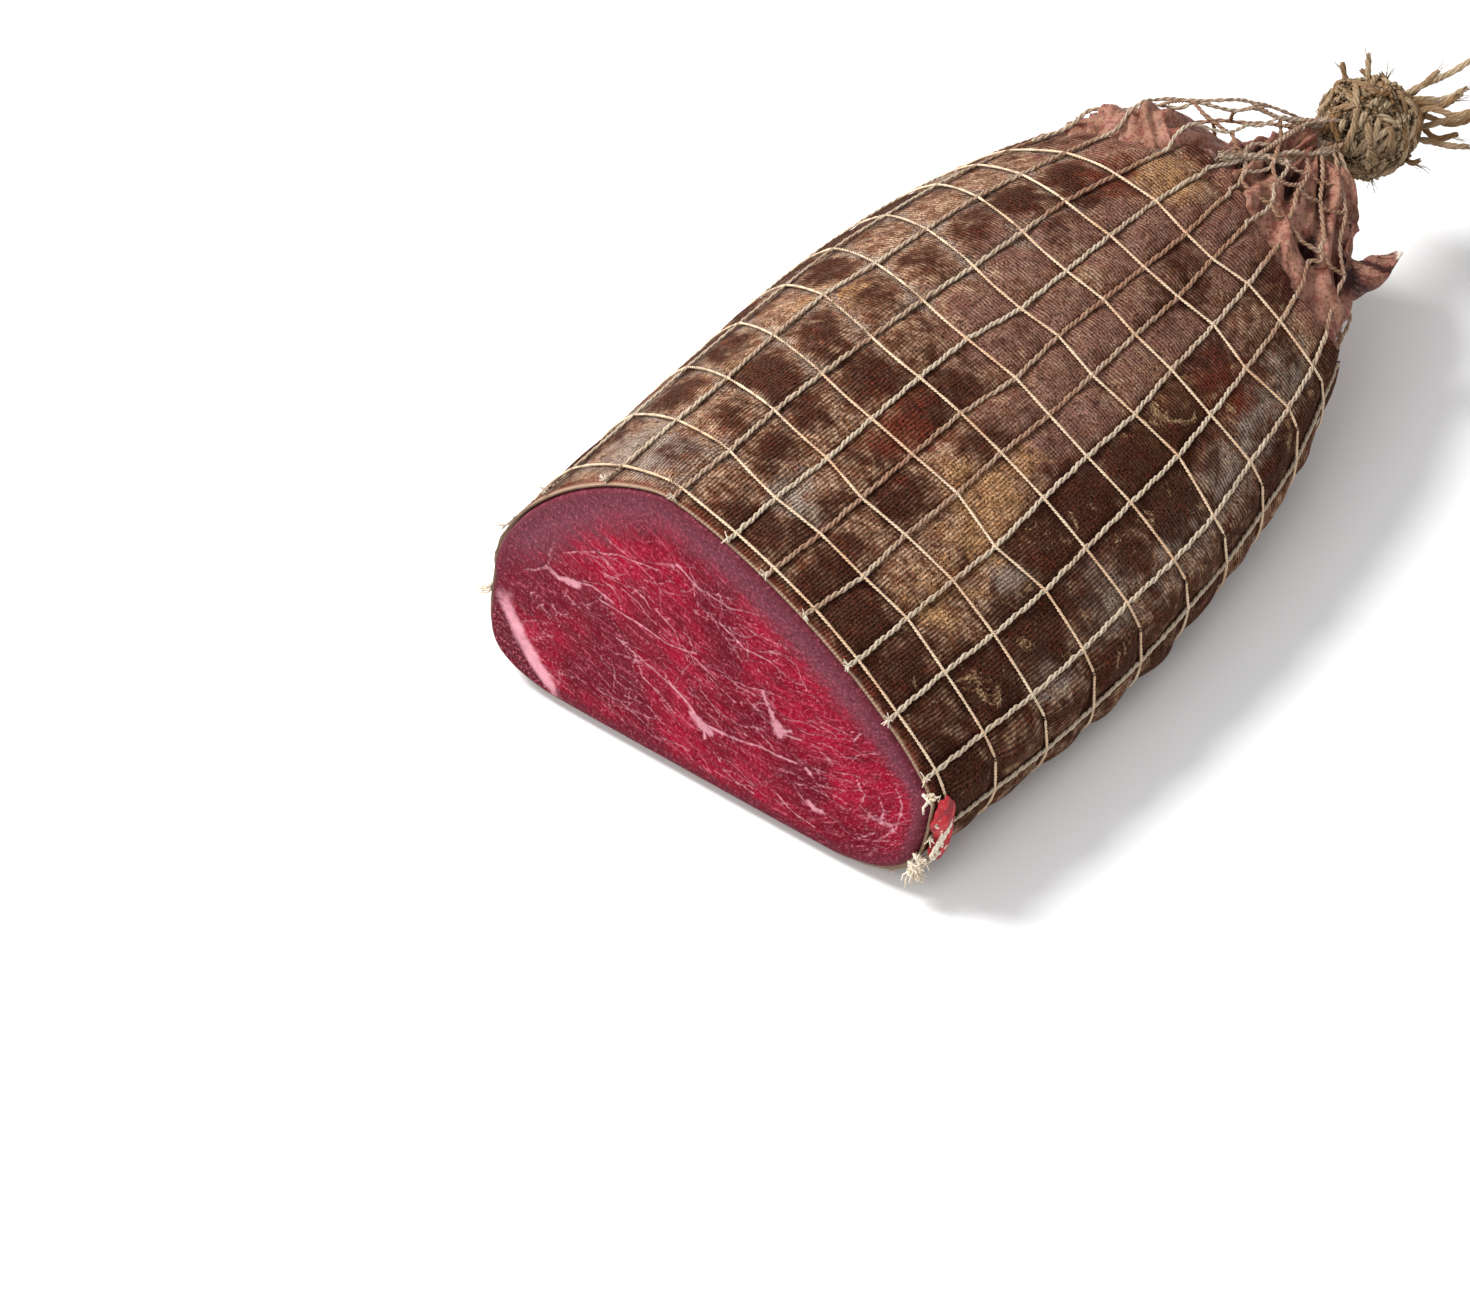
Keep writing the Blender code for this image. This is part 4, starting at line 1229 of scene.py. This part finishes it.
def make_bundle(funnel, draw):
    """The loose twist of several cords along the top of the funnel, with slack loops of thread."""
    parts = np.linspace(0, 1, 9)
    for index in range(BUNDLE_STRANDS):
        turn = 2 * math.pi * index / BUNDLE_STRANDS + parts * draw.uniform(3.0, 7.0)
        spread = 0.0017 * draw.uniform(0.5, 1.2) * (1 - 0.35 * parts)
        across = vec(0.1, 0.35, 0.9) * (spread * np.cos(turn))[:, None]
        deep = vec(0.45, -0.52, 0.3) * (spread * np.sin(turn))[:, None]
        jitter = shaken(draw, 0.0004, parts)
        begin = draw.uniform(0.0, 0.12)
        points = bundle_point(begin + parts * (1 - begin)) + across + deep + jitter
        own = draw.uniform(0.2, 0.8)
        funnel.loose(points, FINE_SPACING, CORD_PLY, CORD_PITCH, own, phase=index, ends=0.5)
    for part, drop in SLACK_LOOPS:
        start, end = bundle_point(part), bundle_point(part + 0.12)
        points = sagging(start, (start + end) / 2 + vec(0.35, -0.45, -0.8) * drop, end)
        points[1] = points[1] + vec(-0.001, 0, 0)
        funnel.loose(points, FINE_SPACING, HOOP_PLY * 1.6, HOOP_TWIST * 1.6, draw.uniform(0.3, 0.8))


def turned_about(axis, start, angle):
    """The start direction turned about the axis by each angle."""
    other = np.cross(axis, start)
    return start * np.cos(angle)[:, None] + other * np.sin(angle)[:, None]


def make_knot():
    """The ball of wound twine over the neck, its frayed fibres, and the ends that stick out."""
    draw = random.Random(23)
    finish = thread_finish("twine", TWINE_PALE, TWINE_KHAKI, TWINE_DIRT_AND_SHADE, 0.7)
    ball = Strands()

    def heading():
        return unit([draw.gauss(0, 1), draw.gauss(0, 1), draw.gauss(0, 1)])

    for index in range(BALL_LOOPS):
        axis = unit(heading() + NECK_AXIS * draw.choice((-1.2, 0.2, 1.2)))
        start = unit(np.cross(axis, heading()))
        radius = KNOT_RADIUS * (draw.uniform(0.62, 0.82) if index < INNER_LOOPS else draw.uniform(0.82, 1.0))
        offset = axis * draw.uniform(-0.55, 0.55) * radius
        reach = math.sqrt(radius**2 - offset @ offset)
        angles = np.linspace(0, draw.uniform(3.5, 6.6), 44)
        wobble = 1 + 0.10 * np.sin(angles * draw.uniform(1.5, 4) + draw.uniform(0, 6))
        sway = axis * (0.0016 * np.sin(angles * draw.uniform(1.5, 3.5) + draw.uniform(0, 6)))[:, None]
        centre = KNOT_CENTRE + offset + sway
        if index % 5 == 0:
            centre = centre + TASSEL_AXIS * 0.0065
            reach = reach * 0.72
        path = centre + turned_about(axis, start, angles) * (reach * wobble)[:, None]
        ball.plied(path, path - KNOT_CENTRE, *BALL_TWIST, draw.uniform(0.0, 1.1), 5, 3, apart=1.0, ends=0.4)
    knot = ball.piece("twine_ball", finish)
    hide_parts("knot")

    ends = Strands()
    tips = []

    def stick_out(direction, points, twist, palest):
        own = draw.uniform(palest, 0.9)
        route = ends.loose(points, THREAD_SPACING, *twist, own, 5, 4, apart=1.1, ends=0.4)
        tips.append((route[-4], direction))

    bundle_side = unit(np.cross(TASSEL_AXIS, vec(0.0, 0.0, 1.0)))
    bundle_rise = np.cross(bundle_side, TASSEL_AXIS)
    for index in range(TASSEL_ENDS):
        turn = 2 * math.pi * index / TASSEL_ENDS
        spread = (bundle_side * math.cos(turn) + bundle_rise * math.sin(turn)) * draw.uniform(0.1, 0.36)
        direction = unit(TASSEL_AXIS + spread)
        run = direction * (TASSEL_LENGTH * draw.uniform(0.62, 1.0))
        start = KNOT_CENTRE + direction * 0.008 + spread * 0.008
        bend = heading() * 0.0028
        points = [start, start + run * 0.35 + bend, start + run * 0.7 - bend * 0.6, start + run]
        stick_out(direction, points, TASSEL_TWIST, 0.1)
    for direction, length in TUFTS:
        direction = unit(direction)
        run = direction * length
        start = KNOT_CENTRE + direction * 0.010
        points = [start, start + run * 0.5 + heading() * 0.0022, start + run + heading() * 0.003]
        stick_out(direction, points, TUFT_TWIST, 0.2)
    ends.piece("twine_ends", finish)

    frays = Strands()

    def fibre(path):
        frays.hair(path, draw.uniform(0.0001, 0.0002), 3, draw.uniform(0.0, 1.0))

    for index in range(BALL_FIBRES):
        spot = heading()
        lean = unit(np.cross(spot, heading()))
        start = KNOT_CENTRE + spot * KNOT_RADIUS * draw.uniform(0.86, 1.0)
        length = draw.uniform(0.003, 0.008)
        rise = draw.uniform(-0.05, 0.30)
        fibre([start + (lean + spot * rise * step) * length * step for step in FIBRE_STEPS])
    for tip, direction in tips:
        for index in range(7):
            spread = unit(direction + heading() * 0.35)
            length = draw.uniform(0.003, 0.007)
            fibre([tip + spread * length * step + heading() * 0.0003 for step in FIBRE_STEPS])
    frays.piece("twine_fibres", finish)


def make_frays():
    """Thread ends and a tuft of twine along the cut edge."""
    draw = random.Random(29)
    finish = thread_finish("loose_twine", LOOSE_PALE, LOOSE_TAN, THREAD_DIRT_AND_SHADE, 0.4)
    frays = Strands()
    for walk, count, length in EDGE_TUFTS:
        base = surface(np.array(walk), np.array(0.001))
        out = outward(np.array(walk), np.array(0.001))
        for index in range(count):
            direction = unit(out + vec(draw.gauss(0, 0.5), draw.uniform(-0.9, 0.2), draw.gauss(-0.1, 0.4)))
            reach = length * draw.uniform(0.5, 1.0)
            path = base + direction * reach * np.array([[-0.15], [0.3], [0.65], [1.0]])
            path = np.maximum(path + shaken(draw, 0.0005, path), [-1.0, -1.0, 0.0006])
            frays.hair(path, draw.uniform(0.00025, 0.0006), 4, draw.uniform(0, 0.5))
    for cord in range(13):
        base, up = on_sleeve(float(cord), vec(-0.19), 0.0010)
        for index in range(EDGE_FRAYS):
            lean = vec(draw.gauss(0, 0.6), draw.uniform(-1.2, 0.1), draw.gauss(0.1, 0.6))
            direction = unit(lean + up[0] * 0.5)
            reach = draw.uniform(0.0012, 0.0030)
            path = base[0] + direction * reach * np.linspace(0, 1, 4)[:, None]
            frays.hair(path, 0.000264, 4, draw.uniform(0, 0.3))
    walk, along, out = np.array(EDGE_TWIST).T
    for shift in (0.0, 0.0016, -0.0012):
        line = surface(walk + shift, along + shift) + outward(walk, along) * out[:, None]
        line = np.maximum(line, [-1.0, -1.0, 0.0008])
        own = draw.uniform(-0.2, 0.2)
        frays.loose(line, FINE_SPACING, 0.00050, 0.0042, own, phase=shift * 900, ends=0.5)
    frays.piece("edge_frays", finish)


def make_scrap():
    """A torn lip of raw meat that hangs at the right end of the cut, outside the gauze."""
    along, across = np.meshgrid(np.linspace(0, 1, 49), np.linspace(-1, 1, 17))
    walk = SCRAP_START - SCRAP_LENGTH * along
    half = SCRAP_WIDTH * np.sin(math.pi * np.clip(along * 0.94 + 0.05, 0, 1)) ** 0.6
    half = half * (1 + 0.25 * np.sin(along * 9))
    back = 0.0048 + 0.0035 * along + across * half
    out = 0.0012 + 0.0018 * (1 - across**2) + 0.0006 * waves(61, along * 17, across * 3)
    grid = surface(walk, back) + outward(walk, back) * out[..., None]
    grid[..., 2] = np.maximum(grid[..., 2], 0.0012)
    raw = Finish("raw_lip", 0.4, 0.35)
    place = raw.position()
    raw.colour = raw.mix(raw.ramp(raw.noise(place, 300.0, 5.0, 0.7), 0.42, 0.6), LIP_RED, LIP_DARK)
    raw.layer(raw.noise(place, 900.0, 4.0, 0.7), 0.55, 0.68, PALE_FIBRE, 0.5)
    finish = raw.paint(None, raw.bump(raw.noise(place, 700.0, 4.0), 0.0008, 0.7))
    sheet("raw_lip", grid, SCRAP_THICKNESS, finish)


def set_up(name, data, place, away):
    """An object at a place, which looks against the direction away."""
    thing = bpy.data.objects.new(name, data)
    thing.location = place
    thing.rotation_euler = (-away).to_track_quat("-Z", "Y").to_euler()
    bpy.context.scene.collection.objects.link(thing)
    return thing


def area_light(name, place, size, power):
    data = bpy.data.lights.new(name, "AREA")
    data.shape = "DISK"
    data.size = size
    data.energy = power
    set_up(name, data, place, Vector(place) - Vector(LIT_PLACE))


def make_stage():
    """A pale floor, soft studio light and the photograph's view."""
    level = math.cos(VIEW_ELEVATION)
    away = Vector((math.sin(VIEW_AZIMUTH) * level, -math.cos(VIEW_AZIMUTH) * level, math.sin(VIEW_ELEVATION)))
    data = bpy.data.cameras.new("view")
    data.lens = LENS
    data.sensor_width = SENSOR
    scene = bpy.context.scene
    scene.camera = set_up("view", data, VIEW_TARGET + away * VIEW_DISTANCE, away)
    mesh = bpy.data.meshes.new("floor")
    corners = [(x * FLOOR_HALF, y * FLOOR_HALF, 0) for x, y in ((-1, -1), (1, -1), (1, 1), (-1, 1))]
    mesh.from_pydata(corners, [], [(0, 1, 2, 3)])
    pale = Finish("pale_floor", 0.9, 0.1)
    pale.colour = pale.mix(pale.noise(pale.position(), 30.0, 2.0), (0.90, 0.90, 0.90), (0.92, 0.92, 0.92))
    mesh.materials.append(pale.paint())
    floor = bpy.data.objects.new("floor", mesh)
    scene.collection.objects.link(floor)
    world = bpy.data.worlds.new("studio")
    world.use_nodes = True
    background = world.node_tree.nodes["Background"].inputs
    background["Color"].default_value = (1.0, 1.0, 1.0, 1.0)
    background["Strength"].default_value = WORLD_STRENGTH
    scene.world = world
    area_light("key", *KEY)
    area_light("fill", *FILL)
    scene.view_settings.view_transform = "Standard"
    scene.view_settings.look = "None"
    scene.view_settings.exposure = 0.0


def main():
    make_stage()
    make_sleeve()
    make_meat()
    make_flap(make_skin())
    make_net()
    make_knot()
    make_frays()
    make_scrap()


main()
